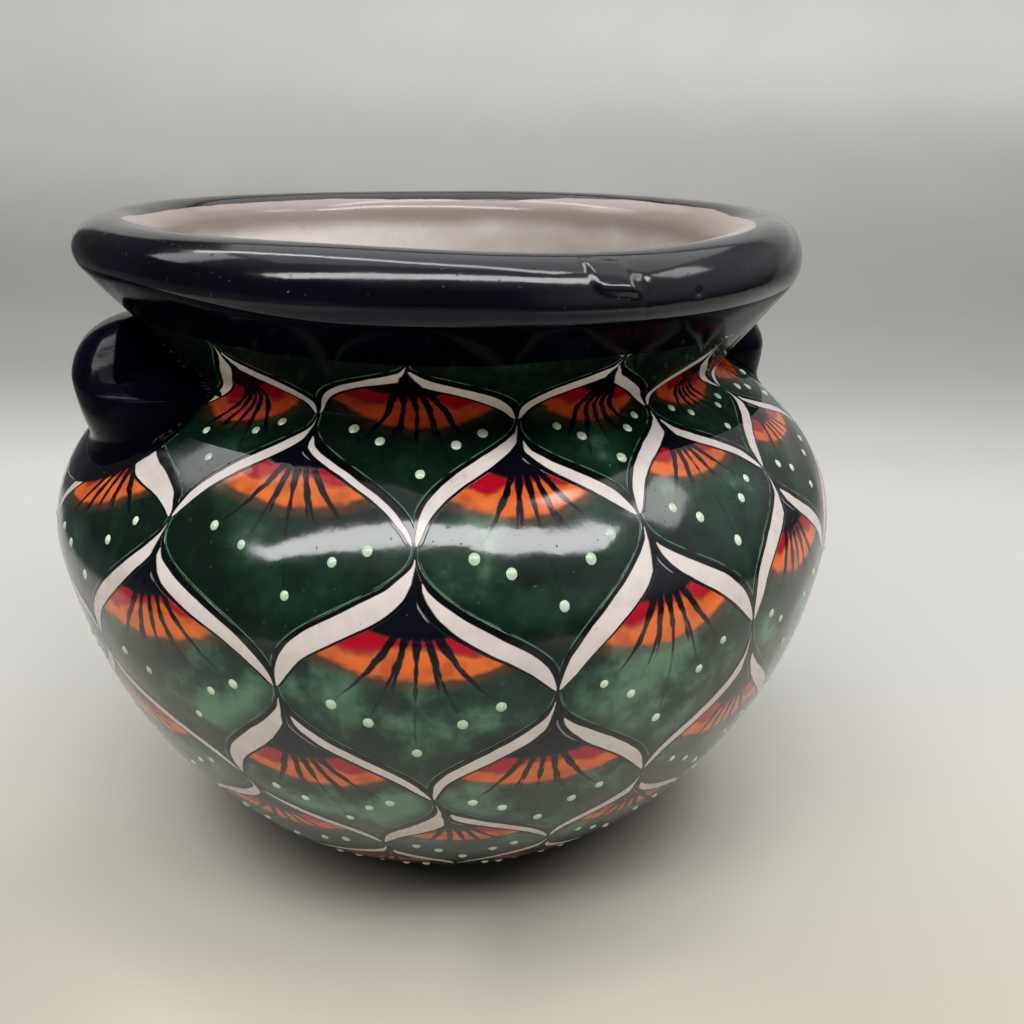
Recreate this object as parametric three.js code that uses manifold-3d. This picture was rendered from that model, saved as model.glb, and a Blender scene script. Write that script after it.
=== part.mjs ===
// Glazed earthenware flower pot with a round belly, a narrow throat, a thick rolled rim and two ear
// handles. Millimetres, +Z up, origin at the centre of the flat foot, on the surface it stands on.
// The handles lie on the X axis. Azimuths are in degrees from +X towards +Y.

import * as THREE from 'three';
import { mergeVertices } from 'three/addons/utils/BufferGeometryUtils.js';
import Module from 'manifold-3d';

// Driving dimensions of the foot and the floor slab
const FOOT_RADIUS = 64;
const FOOT_WALL = 8;
const FLOOR_THICKNESS = 10;
const DRAIN_RADIUS = 9;
const DRAIN_CHAMFER = 1.5;

// Driving dimensions of the belly and its shoulder
const BELLY_RADIUS = 140;
const BELLY_HEIGHT = 123;
const BELLY_WALL = 8;
const SHOULDER_RISE = 74;
const BOWL_HEIGHT_POWER = 1.75;
const BOWL_RADIUS_POWER = 1.5;

// Driving dimensions of the throat, where the shoulder turns out into the flared collar
const THROAT_RADIUS = 95;
const THROAT_WALL = 8;
const THROAT_BLEND = 13;
const COLLAR_SEAM_DROP = 10;

// Driving dimensions of the rolled rim, whose middle lies this far outside and above the throat
const ROLL_OUTSET = 12;
const ROLL_RISE = 38.6;
const ROLL_HALF_WIDTH = 12.6;
const ROLL_HALF_HEIGHT = 9.3;

// The rim was turned by eye: it leans, is a little oval and dips to one side
const RIM_LEAN = 7.8;
const RIM_LEAN_AZIMUTH = -160;
const RIM_OVAL = 5.5;
const RIM_OVAL_AZIMUTH = -72;
const RIM_TILT = 2.2;
const RIM_TILT_AZIMUTH = 11;

// Driving dimensions of the two ear handles
const EAR_REACH = 35;
const EAR_LIFT = 1;
const EAR_HALF_HEIGHT = 21;
const EAR_HALF_ANGLE = 27;
const EAR_FOOT_BLEND = 9;
const EAR_ROOT_DEPTH = 4;
const EAR_EDGE = 1.2;
const EAR_MARGIN = 1.1;
const EAR_AZIMUTHS = { handle_right: 0, handle_left: 180 };

// Clearance between pieces that meet on a turned or curved face
const SEAT_GAP = 0.3;

// Facets: steps round the pot and along its curves
const ROUND_STEPS = 64;
const BOWL_STEPS = 12;
const SHOULDER_STEP = 4.5;
const ROLL_STEPS = 15;
const EAR_STEPS_ROUND = 36;
const EAR_RINGS = 9;
const CLOSEST_RINGS = 0.3;

const CLAY = new THREE.MeshStandardMaterial({ color: '#b5714a', roughness: 0.85, metalness: 0 });
const PAINTED_GLAZE = new THREE.MeshStandardMaterial({ color: '#1f4a33', roughness: 0.15, metalness: 0 });
const NAVY_GLAZE = new THREE.MeshStandardMaterial({ color: '#12142b', roughness: 0.12, metalness: 0 });

const radians = THREE.MathUtils.degToRad;
const { clamp, smoothstep } = THREE.MathUtils;

// Larger of two values, with the corner between them rounded over the given width
function smoothMax(a, b, width) {
  const near = clamp(1 - Math.abs(a - b) / width, 0, 1);
  return Math.max(a, b) + near * near * width / 4;
}

// Height above the widest ring at which a quarter ellipse has shrunk to the given radius
function shoulderHeight(radius, wall) {
  const rise = SHOULDER_RISE - wall;
  return BELLY_HEIGHT + rise * Math.sqrt(1 - (radius / (BELLY_RADIUS - wall)) ** 2);
}

function shoulderRadius(height, wall) {
  const climb = clamp((height - BELLY_HEIGHT) / (SHOULDER_RISE - wall), 0, 1);
  return (BELLY_RADIUS - wall) * Math.sqrt(1 - climb * climb);
}

const throatHeight = shoulderHeight(THROAT_RADIUS, 0);
const collarSeamHeight = throatHeight - COLLAR_SEAM_DROP;
const mouthRadius = THROAT_RADIUS - THROAT_WALL;
const rollRadius = THROAT_RADIUS + ROLL_OUTSET;
const rollHeight = throatHeight + ROLL_RISE;
const earHeight = throatHeight + EAR_LIFT;

// Angle on the roll's ellipse where a straight wall from the given point touches it.
// Side is +1 for the outside of the rim and -1 for the inside of the mouth.
function rollTangent(radius, height, side) {
  const across = (radius - rollRadius) / ROLL_HALF_WIDTH;
  const up = (height - rollHeight) / ROLL_HALF_HEIGHT;
  return Math.atan2(up, across) + side * Math.acos(1 / Math.hypot(across, up));
}

function rollPoint(angle) {
  return new THREE.Vector2(
    rollRadius + ROLL_HALF_WIDTH * Math.cos(angle),
    rollHeight + ROLL_HALF_HEIGHT * Math.sin(angle),
  );
}

// The collar's outer and inner faces run straight from the throat to the roll, tangent to it
const outerTouch = rollTangent(THROAT_RADIUS, throatHeight, 1);
const innerTouch = rollTangent(mouthRadius, throatHeight, -1);
const lipOuter = rollPoint(outerTouch);
const lipInner = rollPoint(innerTouch);
const lipHeight = lipOuter.y;

function straightWall(startRadius, lip, height) {
  const slope = (lip.x - startRadius) / (lip.y - throatHeight);
  return startRadius + slope * (height - throatHeight);
}

function outerRadius(height) {
  return smoothMax(shoulderRadius(height, 0), straightWall(THROAT_RADIUS, lipOuter, height), THROAT_BLEND);
}

function innerRadius(height) {
  const shoulder = shoulderRadius(height, BELLY_WALL);
  return smoothMax(shoulder, straightWall(mouthRadius, lipInner, height), THROAT_BLEND);
}

// The bowl is a superellipse from the floor up to the widest ring
function bowlCurve(floorRadius, bellyRadius, floorHeight) {
  const points = [];
  for (let step = 0; step <= BOWL_STEPS; step += 1) {
    const angle = (1 - step / BOWL_STEPS) * Math.PI / 2;
    const out = Math.max(Math.cos(angle), 0) ** (2 / BOWL_RADIUS_POWER);
    const down = Math.sin(angle) ** (2 / BOWL_HEIGHT_POWER);
    points.push(new THREE.Vector2(
      floorRadius + (bellyRadius - floorRadius) * out,
      BELLY_HEIGHT - (BELLY_HEIGHT - floorHeight) * down,
    ));
  }
  return points;
}

function shoulderCurve(radiusAt, topHeight) {
  const steps = Math.ceil((topHeight - BELLY_HEIGHT) / SHOULDER_STEP);
  const points = [];
  for (let step = 1; step <= steps; step += 1) {
    const height = BELLY_HEIGHT + (topHeight - BELLY_HEIGHT) * step / steps;
    points.push(new THREE.Vector2(radiusAt(height), height));
  }
  return points;
}

const outerCurve = [
  ...bowlCurve(FOOT_RADIUS, BELLY_RADIUS, 0),
  ...shoulderCurve(outerRadius, lipHeight),
];
const innerCurve = [
  ...bowlCurve(FOOT_RADIUS - FOOT_WALL, BELLY_RADIUS - BELLY_WALL, FLOOR_THICKNESS),
  ...shoulderCurve(innerRadius, lipHeight),
];

// Stretch of a rising curve between two heights, with points added exactly at both
function between(curve, low, high) {
  const crossing = (height) => {
    const above = curve.findIndex((point) => point.y >= height);
    if (above <= 0) return curve[0].clone();
    const share = (height - curve[above - 1].y) / (curve[above].y - curve[above - 1].y);
    return curve[above - 1].clone().lerp(curve[above], share);
  };
  const clear = (point) => point.y > low + CLOSEST_RINGS && point.y < high - CLOSEST_RINGS;
  return [crossing(low), ...curve.filter(clear), crossing(high)];
}

// Moves a point of the pot as the leaning, oval, tilted rim does: nothing moves below the throat
function bendWithRim(point) {
  const share = smoothstep(point.z, throatHeight, rollHeight);
  const radius = Math.hypot(point.x, point.y);
  const azimuth = Math.atan2(point.y, point.x);
  const oval = RIM_OVAL * Math.cos(2 * (azimuth - radians(RIM_OVAL_AZIMUTH)));
  const rise = RIM_TILT * Math.cos(azimuth - radians(RIM_TILT_AZIMUTH)) * radius / rollRadius;
  const newRadius = radius + share * oval;
  point.set(
    newRadius * Math.cos(azimuth) + share * RIM_LEAN * Math.cos(radians(RIM_LEAN_AZIMUTH)),
    newRadius * Math.sin(azimuth) + share * RIM_LEAN * Math.sin(radians(RIM_LEAN_AZIMUTH)),
    point.z + share * rise,
  );
}

function bendGeometry(geometry) {
  const positions = geometry.getAttribute('position');
  const point = new THREE.Vector3();
  for (let index = 0; index < positions.count; index += 1) {
    point.fromBufferAttribute(positions, index);
    bendWithRim(point);
    positions.setXYZ(index, point.x, point.y, point.z);
  }
  return geometry;
}

// Position-only copy of a geometry with its doubled vertices merged
function weld(geometry) {
  const bare = geometry.clone();
  bare.deleteAttribute('normal');
  bare.deleteAttribute('uv');
  return mergeVertices(bare, 1e-4);
}

// Ring turned about +Z from a closed section; LatheGeometry turns about +Y, so it is stood up
function turned(section) {
  const closed = [...section, section[0].clone()];
  const geometry = new THREE.LatheGeometry(closed, ROUND_STEPS);
  geometry.rotateX(Math.PI / 2);
  return weld(geometry);
}

const wasm = await Module();
wasm.setup();

function toManifold(geometry) {
  return new wasm.Manifold(new wasm.Mesh({
    numProp: 3,
    vertProperties: new Float32Array(geometry.getAttribute('position').array),
    triVerts: new Uint32Array(geometry.getIndex().array),
  }));
}

function fromManifold(solid) {
  const mesh = solid.getMesh();
  const geometry = new THREE.BufferGeometry();
  geometry.setAttribute('position', new THREE.BufferAttribute(new Float32Array(mesh.vertProperties), 3));
  geometry.setIndex(new THREE.BufferAttribute(new Uint32Array(mesh.triVerts), 1));
  return geometry;
}

// Floor slab: a flat disc whose edge carries on the bowl's outline, with a drain hole in the middle
function floorSlab() {
  const top = FLOOR_THICKNESS;
  return turned([
    new THREE.Vector2(DRAIN_RADIUS + DRAIN_CHAMFER, 0),
    ...between(outerCurve, 0, top),
    new THREE.Vector2(DRAIN_RADIUS + DRAIN_CHAMFER, top),
    new THREE.Vector2(DRAIN_RADIUS, top - DRAIN_CHAMFER),
    new THREE.Vector2(DRAIN_RADIUS, DRAIN_CHAMFER),
  ]);
}

// Wall of the pot between two heights: the outer curve upwards, then the inner curve downwards
function wallRing(low, high) {
  return turned([...between(outerCurve, low, high), ...between(innerCurve, low, high).reverse()]);
}

// Rim: a thick coil laid on the collar's flat lip, round on top and faired into both wall faces
function rimCoil() {
  const seat = lipHeight + SEAT_GAP;
  const section = [new THREE.Vector2(straightWall(THROAT_RADIUS, lipOuter, seat), seat)];
  const sweep = (innerTouch - outerTouch + 2 * Math.PI) % (2 * Math.PI);
  for (let step = 0; step <= ROLL_STEPS; step += 1) {
    const point = rollPoint(outerTouch + sweep * step / ROLL_STEPS);
    if (point.y > seat + CLOSEST_RINGS) section.push(point);
  }
  section.push(new THREE.Vector2(straightWall(mouthRadius, lipInner, seat), seat));
  return turned(section);
}

// Outside of the pot as one solid, grown by the seat gap, for cutting the back of each handle
function potOutline() {
  const profile = outerCurve.map((point) => new THREE.Vector2(point.x + SEAT_GAP, point.y));
  const geometry = new THREE.LatheGeometry(
    [new THREE.Vector2(0, 0), ...profile, new THREE.Vector2(0, lipHeight)],
    ROUND_STEPS,
  );
  geometry.rotateX(Math.PI / 2);
  return weld(geometry);
}

// How far out an ear stands at an angle and height from its middle: half a cushion, tapered to a
// point at each side, whose foot runs out in a soft fillet to a thin edge on the pot
function earRadius(angle, height) {
  const side = Math.abs(angle / radians(EAR_HALF_ANGLE)) ** 2;
  const up = Math.abs((height - earHeight) / EAR_HALF_HEIGHT) ** 2.2;
  const cushion = THROAT_RADIUS + EAR_REACH * Math.sqrt(Math.max(1 - side - up, 0));
  return smoothMax(cushion, outerRadius(height) + EAR_EDGE, EAR_FOOT_BLEND);
}

function earRootRadius(angle, height) {
  return outerRadius(height) - EAR_ROOT_DEPTH;
}

// One ear: a closed block with the ear's face outside and its root inside the wall, built as
// rings round the ear's middle, from which the pot's own outline is then cut away
function ear(azimuth) {
  const vertices = [];
  const addPoint = (radiusAt, angle, height) => {
    const radius = radiusAt(angle, height);
    const turn = angle + radians(azimuth);
    vertices.push(radius * Math.cos(turn), radius * Math.sin(turn), height);
  };
  const addSheet = (radiusAt) => {
    addPoint(radiusAt, 0, earHeight);
    for (let ring = 1; ring <= EAR_RINGS; ring += 1) {
      const share = Math.sin(ring / EAR_RINGS * Math.PI / 2) * EAR_MARGIN;
      for (let step = 0; step < EAR_STEPS_ROUND; step += 1) {
        const around = step / EAR_STEPS_ROUND * 2 * Math.PI;
        const angle = share * radians(EAR_HALF_ANGLE) * Math.cos(around);
        addPoint(radiusAt, angle, earHeight + share * EAR_HALF_HEIGHT * Math.sin(around));
      }
    }
  };
  addSheet(earRadius);
  const root = vertices.length / 3;
  addSheet(earRootRadius);
  const faces = [];
  const onRing = (ring, step) => 1 + (ring - 1) * EAR_STEPS_ROUND + step % EAR_STEPS_ROUND;
  const quad = (a, b, c, d) => faces.push(a, b, c, a, c, d);
  for (let step = 0; step < EAR_STEPS_ROUND; step += 1) {
    faces.push(0, onRing(1, step), onRing(1, step + 1));
    faces.push(root, root + onRing(1, step + 1), root + onRing(1, step));
    for (let ring = 1; ring < EAR_RINGS; ring += 1) {
      const [a, b] = [onRing(ring, step), onRing(ring + 1, step)];
      const [c, d] = [onRing(ring + 1, step + 1), onRing(ring, step + 1)];
      quad(a, b, c, d);
      quad(root + a, root + d, root + c, root + b);
    }
    const [edge, next] = [onRing(EAR_RINGS, step), onRing(EAR_RINGS, step + 1)];
    quad(edge, root + edge, root + next, next);
  }
  const block = new THREE.BufferGeometry();
  block.setAttribute('position', new THREE.Float32BufferAttribute(vertices, 3));
  block.setIndex(faces);
  return fromManifold(toManifold(block).subtract(toManifold(potOutline())));
}

const pot = new THREE.Group();

function addPiece(name, geometry, material) {
  const mesh = new THREE.Mesh(bendGeometry(geometry), material);
  mesh.name = name;
  pot.add(mesh);
}

addPiece('floor_slab', floorSlab(), CLAY);
addPiece('belly_wall', wallRing(FLOOR_THICKNESS, collarSeamHeight), PAINTED_GLAZE);
addPiece('neck_collar', wallRing(collarSeamHeight, lipHeight), PAINTED_GLAZE);
addPiece('rim_coil', rimCoil(), NAVY_GLAZE);
for (const [name, azimuth] of Object.entries(EAR_AZIMUTHS)) {
  addPiece(name, ear(azimuth), NAVY_GLAZE);
}

export default pot;
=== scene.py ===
"""Looks of a glazed, hand-painted flower pot: its pieces, finishes, studio and camera.

Shapes are worked out in millimetres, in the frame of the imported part, and put into the meshes in
metres. Azimuths run from +X towards +Y, and arcs are lengths along the pot's outline from its foot.
"""

import logging
import math
from dataclasses import dataclass, field, replace
from enum import Enum

import bpy
import numpy as np
from mathutils import Matrix, Vector


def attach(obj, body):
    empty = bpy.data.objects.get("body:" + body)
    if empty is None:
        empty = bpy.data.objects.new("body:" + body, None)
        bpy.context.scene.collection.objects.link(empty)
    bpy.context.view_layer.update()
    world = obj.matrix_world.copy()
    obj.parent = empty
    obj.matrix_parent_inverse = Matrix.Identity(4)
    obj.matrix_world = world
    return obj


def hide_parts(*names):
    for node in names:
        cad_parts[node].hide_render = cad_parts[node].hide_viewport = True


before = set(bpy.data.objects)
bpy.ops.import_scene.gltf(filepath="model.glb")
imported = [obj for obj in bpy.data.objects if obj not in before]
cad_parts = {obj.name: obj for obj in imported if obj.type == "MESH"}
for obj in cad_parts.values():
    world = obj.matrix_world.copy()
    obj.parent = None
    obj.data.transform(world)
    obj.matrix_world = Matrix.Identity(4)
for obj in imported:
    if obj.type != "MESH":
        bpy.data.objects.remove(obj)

LOG = logging.getLogger("flower_pot")
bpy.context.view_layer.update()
METRES = 0.001
Array = np.ndarray


class Slot(Enum):
    """Material slots of the part's record."""

    PAINTED = "painted_glaze"
    NAVY = "navy_glaze"
    WHITE = "white_glaze"
    CLAY = "bare_clay"


# Small formulas


def smooth_step(value: Array, start: float, end: float) -> Array:
    """Cubic 3t² - 2t³ of how far value has gone from start to end, held at 0 and 1 outside.

    Args:
        value: Numbers to ease.
        start: Value that gives 0.
        end: Value that gives 1.

    Returns:
        Eased share, of value's shape.
    """
    share = np.clip((value - start) / (end - start), 0.0, 1.0)
    return share * share * (3 - 2 * share)


def smooth_max(one: Array, other: Array, width: float) -> Array:
    """Larger of two values plus (1 - |difference| / width)² · width / 4, which rounds the corner.

    Args:
        one: First values.
        other: Second values.
        width: Difference over which the corner is rounded.

    Returns:
        Rounded maximum.
    """
    near = np.clip(1 - np.abs(one - other) / width, 0.0, 1.0)
    return np.maximum(one, other) + near * near * width / 4


def lengths_along(points: Array) -> Array:
    """Distance of each point of a polyline from its start, along the line."""
    return np.r_[0, np.cumsum(np.hypot(*np.diff(points, axis=0).T))]


def even_steps(points: Array, count: int) -> Array:
    """Points at equal distances along a polyline, both ends kept.

    Args:
        points: Polyline, one row a point.
        count: How many points.

    Returns:
        New polyline, its points read off the old one by arc length.
    """
    arc = lengths_along(points)
    at = np.linspace(0, arc[-1], count)
    return np.stack([np.interp(at, arc, points[:, 0]), np.interp(at, arc, points[:, 1])], -1)


def late_steps(points: Array, count: int, length: float) -> Array:
    """Points along a polyline, spaced as on a line of another length and closing up at the end.

    Args:
        points: Polyline, one row a point.
        count: How many points.
        length: Length whose equal steps are kept at first.

    Returns:
        New polyline, at distances length · s + (own length - length) · s⁶ for s from 0 to 1.
    """
    arc = lengths_along(points)
    share = np.linspace(0, 1, count)
    at = length * share + (arc[-1] - length) * share**6
    return np.stack([np.interp(at, arc, points[:, 0]), np.interp(at, arc, points[:, 1])], -1)


def through_points(at: Array, xs: Array, ys: Array) -> Array:
    """Cubic Hermite curve through (xs, ys), whose slopes are those of each point's neighbours.

    Args:
        at: Where to read the curve.
        xs: Rising places of the points.
        ys: Values at the points.

    Returns:
        The curve's values.
    """
    slopes = np.gradient(ys, xs)
    cell = np.clip(np.searchsorted(xs, at) - 1, 0, len(xs) - 2)
    width = xs[cell + 1] - xs[cell]
    t = (at - xs[cell]) / width
    ends = ys[cell] * (1 + 2 * t) * (1 - t) ** 2 + ys[cell + 1] * t * t * (3 - 2 * t)
    return ends + width * t * (1 - t) * (slopes[cell] * (1 - t) - slopes[cell + 1] * t)


# The pot's shape


@dataclass(frozen=True)
class PotShape:
    """Sizes of the turned pot in millimetres and degrees, and the formulas of its surface."""

    foot_radius: float = 64.0
    foot_wall: float = 8.0
    floor_thickness: float = 10.0
    drain_radius: float = 9.0
    drain_chamfer: float = 1.5
    belly_radius: float = 140.0
    belly_height: float = 123.0
    wall: float = 8.0
    shoulder_rise: float = 74.0
    bowl_height_power: float = 1.75
    bowl_radius_power: float = 1.5
    throat_radius: float = 95.0
    throat_blend: float = 9.0
    collar_seam_drop: float = 10.0
    roll_outset: float = 12.0
    roll_rise: float = 38.6
    roll_half_width: float = 12.6
    roll_half_height: float = 9.3
    roll_edge: float = 0.0
    roll_edge_angle: float = 52.0
    roll_edge_width: float = 24.0
    rim_lean: float = 7.8
    rim_lean_azimuth: float = -160.0
    rim_oval: float = 5.5
    rim_oval_azimuth: float = -72.0
    rim_tilt: float = 2.2
    rim_tilt_azimuth: float = 11.0
    # (depth, azimuth, width) of each stretch where the rim sank a little before it was fired
    rim_dips: tuple[tuple[float, float, float], ...] = ((2.4, -84.0, 28.0), (1.7, 84.0, 50.0))
    hand_wave: float = 0.35

    @property
    def throat_height(self) -> float:
        """Height at which the shoulder's quarter ellipse has shrunk to the throat's radius."""
        share = self.throat_radius / self.belly_radius
        return self.belly_height + self.shoulder_rise * math.sqrt(1 - share * share)

    @property
    def seam_height(self) -> float:
        """Height of the seam between belly and collar."""
        return self.throat_height - self.collar_seam_drop

    @property
    def roll_radius(self) -> float:
        """Distance of the roll's middle from the axis."""
        return self.throat_radius + self.roll_outset

    @property
    def roll_height(self) -> float:
        """Height of the roll's middle."""
        return self.throat_height + self.roll_rise

    def touch(self, side: int) -> float:
        """Angle on the roll where a straight wall from the throat is tangent to it.

        Args:
            side: +1 for the outer wall, -1 for the inner one.

        Returns:
            Angle on the roll's ellipse: bearing of the throat ± arc cosine of 1 / distance.
        """
        start = self.throat_radius - (self.wall if side < 0 else 0)
        across = (start - self.roll_radius) / self.roll_half_width
        up = -self.roll_rise / self.roll_half_height
        return math.atan2(up, across) + side * math.acos(1 / math.hypot(across, up))

    def roll_points(self, angles: Array) -> Array:
        """Points of the roll: an ellipse, swollen by a Gaussian of the angle where a thumb pressed.

        Args:
            angles: Angles on the ellipse, in radians.

        Returns:
            (radius, height) rows.
        """
        aside = (np.degrees(angles) - self.roll_edge_angle) / self.roll_edge_width
        swell = 1 + self.roll_edge * np.exp(-(aside**2))
        return np.stack([
            self.roll_radius + self.roll_half_width * swell * np.cos(angles),
            self.roll_height + self.roll_half_height * swell * np.sin(angles),
        ], -1)

    def wall_radius(self, height: Array, inside: bool) -> Array:
        """Radius of the upper wall: quarter ellipse and straight flare under a rounded maximum.

        Args:
            height: Heights at or above the widest ring.
            inside: Whether the inner face is meant.

        Returns:
            Radius at each height.
        """
        wall = self.wall if inside else 0.0
        climb = np.clip((height - self.belly_height) / (self.shoulder_rise - wall), 0.0, 1.0)
        shoulder = (self.belly_radius - wall) * np.sqrt(1 - climb * climb)
        lip = self.roll_points(np.array([self.touch(-1 if inside else 1)]))[0]
        start = self.throat_radius - wall
        slope = (lip[0] - start) / (lip[1] - self.throat_height)
        return smooth_max(shoulder, start + slope * (height - self.throat_height), self.throat_blend)

    def bowl(self, inside: bool, low: float) -> Array:
        """Superellipse up to the widest ring.

        Radius grows with cos(a)^(2/p) and height falls with sin(a)^(2/q) for a from 90° to 0.

        Args:
            inside: Whether the inner face is meant.
            low: Height at which it starts.

        Returns:
            (radius, height) rows.
        """
        wall = self.wall if inside else 0.0
        base = self.floor_thickness if inside else 0.0
        floor_radius = self.foot_radius - (self.foot_wall if inside else 0.0)
        depth = self.belly_height - base
        start = math.asin(((self.belly_height - low) / depth) ** (self.bowl_height_power / 2))
        angle = np.linspace(start, 0, 400)
        out = np.cos(angle).clip(0) ** (2 / self.bowl_radius_power)
        down = np.sin(angle) ** (2 / self.bowl_height_power)
        return np.stack([
            floor_radius + (self.belly_radius - wall - floor_radius) * out,
            self.belly_height - depth * down,
        ], -1)

    def upper(self, inside: bool, low: float, high: float) -> Array:
        """Wall between two heights above the widest ring, as (radius, height) rows."""
        height = np.linspace(low, high, 400)
        return np.stack([self.wall_radius(height, inside), height], -1)

    def bend(self, points: Array) -> Array:
        """Moves points as the leaning, oval, tilted rim does, and adds the thrower's slight waves.

        The share of the bend is a smooth step of height from the throat to the roll; radius gains
        oval · cos 2(azimuth), height gains tilt · cos(azimuth) and loses Gaussian dips, and both
        gain the lean. The waves are products of sines of azimuth and height.

        Args:
            points: Points of the straight pot, last axis (x, y, z).

        Returns:
            Points of the bent pot.
        """
        x, y, z = points[..., 0], points[..., 1], points[..., 2]
        share = smooth_step(z, self.throat_height, self.roll_height)
        radius, azimuth = np.hypot(x, y), np.arctan2(y, x)
        oval = self.rim_oval * np.cos(2 * (azimuth - math.radians(self.rim_oval_azimuth)))
        tilt = self.rim_tilt * np.cos(azimuth - math.radians(self.rim_tilt_azimuth))
        depth, middle, width = (np.array(values) for values in zip(*self.rim_dips))
        aside = (np.degrees(azimuth)[..., None] - middle + 180) % 360 - 180
        dip = np.exp(-((aside / width) ** 2)) @ depth
        dip = dip * smooth_step(z, self.roll_height - 10, self.roll_height)
        wave = np.sin(5 * azimuth + z / 31) * np.sin(z / 23 + 1.3) + 0.6 * np.sin(9 * azimuth - z / 17)
        solid = smooth_step(radius, 20, 60) * self.hand_wave * wave
        out = radius + share * oval + solid
        lean = math.radians(self.rim_lean_azimuth)
        return np.stack([
            out * np.cos(azimuth) + share * self.rim_lean * math.cos(lean),
            out * np.sin(azimuth) + share * self.rim_lean * math.sin(lean),
            z + share * tilt * radius / self.roll_radius - dip,
        ], -1)


@dataclass
class Outline:
    """The pot's whole section, from its foot up the outside, over the roll and down to the floor.

    The roll was laid fuller at the front than behind, so there are two sections with as many points
    each, and the azimuth says how much of either there is.
    """

    shape: PotShape
    fuller_shape: PotShape
    outside_step: float = 2.0
    roll_step: float = 0.7
    inside_step: float = 4.0
    slope_step: float = 0.4
    fuller_from: tuple[float, float] = (-158.0, -118.0)
    fuller_to: tuple[float, float] = (-25.0, 20.0)
    points: Array = field(init=False)
    fuller_points: Array = field(init=False)
    arc: Array = field(init=False)
    spans: dict[str, tuple[int, int]] = field(init=False, default_factory=dict)

    def __post_init__(self) -> None:
        """Joins the stretches of both sections and notes where each starts and ends."""
        plain, fuller = self.stretches(self.shape), self.stretches(self.fuller_shape)
        rows: list[Array] = []
        fuller_rows: list[Array] = []
        start = 0
        for name, (stretch, step) in plain.items():
            length = lengths_along(stretch)[-1]
            count = int(round(length / step)) + 1
            skip = 1 if rows else 0
            rows.append(even_steps(stretch, count)[skip:])
            other = fuller[name][0]
            same = late_steps(other, count, length) if name == "collar" else even_steps(other, count)
            fuller_rows.append(same[skip:])
            self.spans[name] = (start, start + count - 1)
            start += count - 1
        self.points, self.fuller_points = np.concatenate(rows), np.concatenate(fuller_rows)
        self.arc = lengths_along(self.points)

    def stretches(self, shape: PotShape) -> dict[str, tuple[Array, float]]:
        """Cuts a shape's section at its seams.

        Args:
            shape: Shape whose section is wanted.

        Returns:
            Polyline of each stretch and the step between its rings, by the stretch's name.
        """
        seam, slab, belly = shape.seam_height, shape.floor_thickness, shape.belly_height
        lips = [shape.roll_points(np.array([shape.touch(side)]))[0, 1] for side in (1, -1)]
        sweep = (shape.touch(-1) - shape.touch(1)) % (2 * math.pi)
        bowl = shape.bowl(False, 0.0)
        above = bowl[:, 1] > slab
        cut = np.array([[np.interp(slab, bowl[:, 1], bowl[:, 0]), slab]])
        inner = shape.bowl(True, slab)[::-1]
        roll = shape.roll_points(shape.touch(1) + np.linspace(0, sweep, 400))
        return {
            "foot": (np.r_[bowl[~above], cut], self.outside_step),
            "belly": (np.r_[cut, bowl[above], shape.upper(False, belly, seam)[1:]], self.outside_step),
            "collar": (shape.upper(False, seam, lips[0]), self.roll_step),
            "roll": (roll, self.roll_step),
            "collar_inside": (shape.upper(True, seam, lips[1])[::-1], self.outside_step),
            "belly_inside": (np.r_[shape.upper(True, belly, seam)[::-1], inner[1:]], self.inside_step),
        }

    def ring_of(self, azimuth: Array, arc: Array) -> Array:
        """Mix of both sections by azimuth.

        Args:
            azimuth: Azimuths in degrees, from -180 to 180.
            arc: Arcs in millimetres.

        Returns:
            (radius, height) rows.
        """
        full = smooth_step(azimuth, *self.fuller_from) * (1 - smooth_step(azimuth, *self.fuller_to))
        plain, fuller = (
            np.stack([np.interp(arc, self.arc, line[:, k]) for k in (0, 1)], -1)
            for line in (self.points, self.fuller_points)
        )
        return plain + np.asarray(full)[..., None] * (fuller - plain)

    def surface(self, azimuth: Array, arc: Array) -> Array:
        """Points of the bent pot.

        Args:
            azimuth: Azimuths in degrees.
            arc: Arcs in millimetres.

        Returns:
            Points, last axis (x, y, z).
        """
        around = (np.asarray(azimuth) + 180) % 360 - 180
        ring, turn = self.ring_of(around, arc), np.radians(azimuth)
        flat = np.stack([ring[..., 0] * np.cos(turn), ring[..., 0] * np.sin(turn), ring[..., 1]], -1)
        return self.shape.bend(flat)

    def normal(self, azimuth: Array, arc: Array) -> Array:
        """Cross product of the surface's slopes round the pot and up it.

        Args:
            azimuth: Azimuths in degrees.
            arc: Arcs in millimetres.

        Returns:
            Outward unit normals.
        """
        step = self.slope_step
        around = self.surface(azimuth + step, arc) - self.surface(azimuth - step, arc)
        along = self.surface(azimuth, arc + step) - self.surface(azimuth, arc - step)
        cross = np.cross(around, along)
        return cross / np.linalg.norm(cross, axis=-1, keepdims=True)


# The painted lattice


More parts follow.
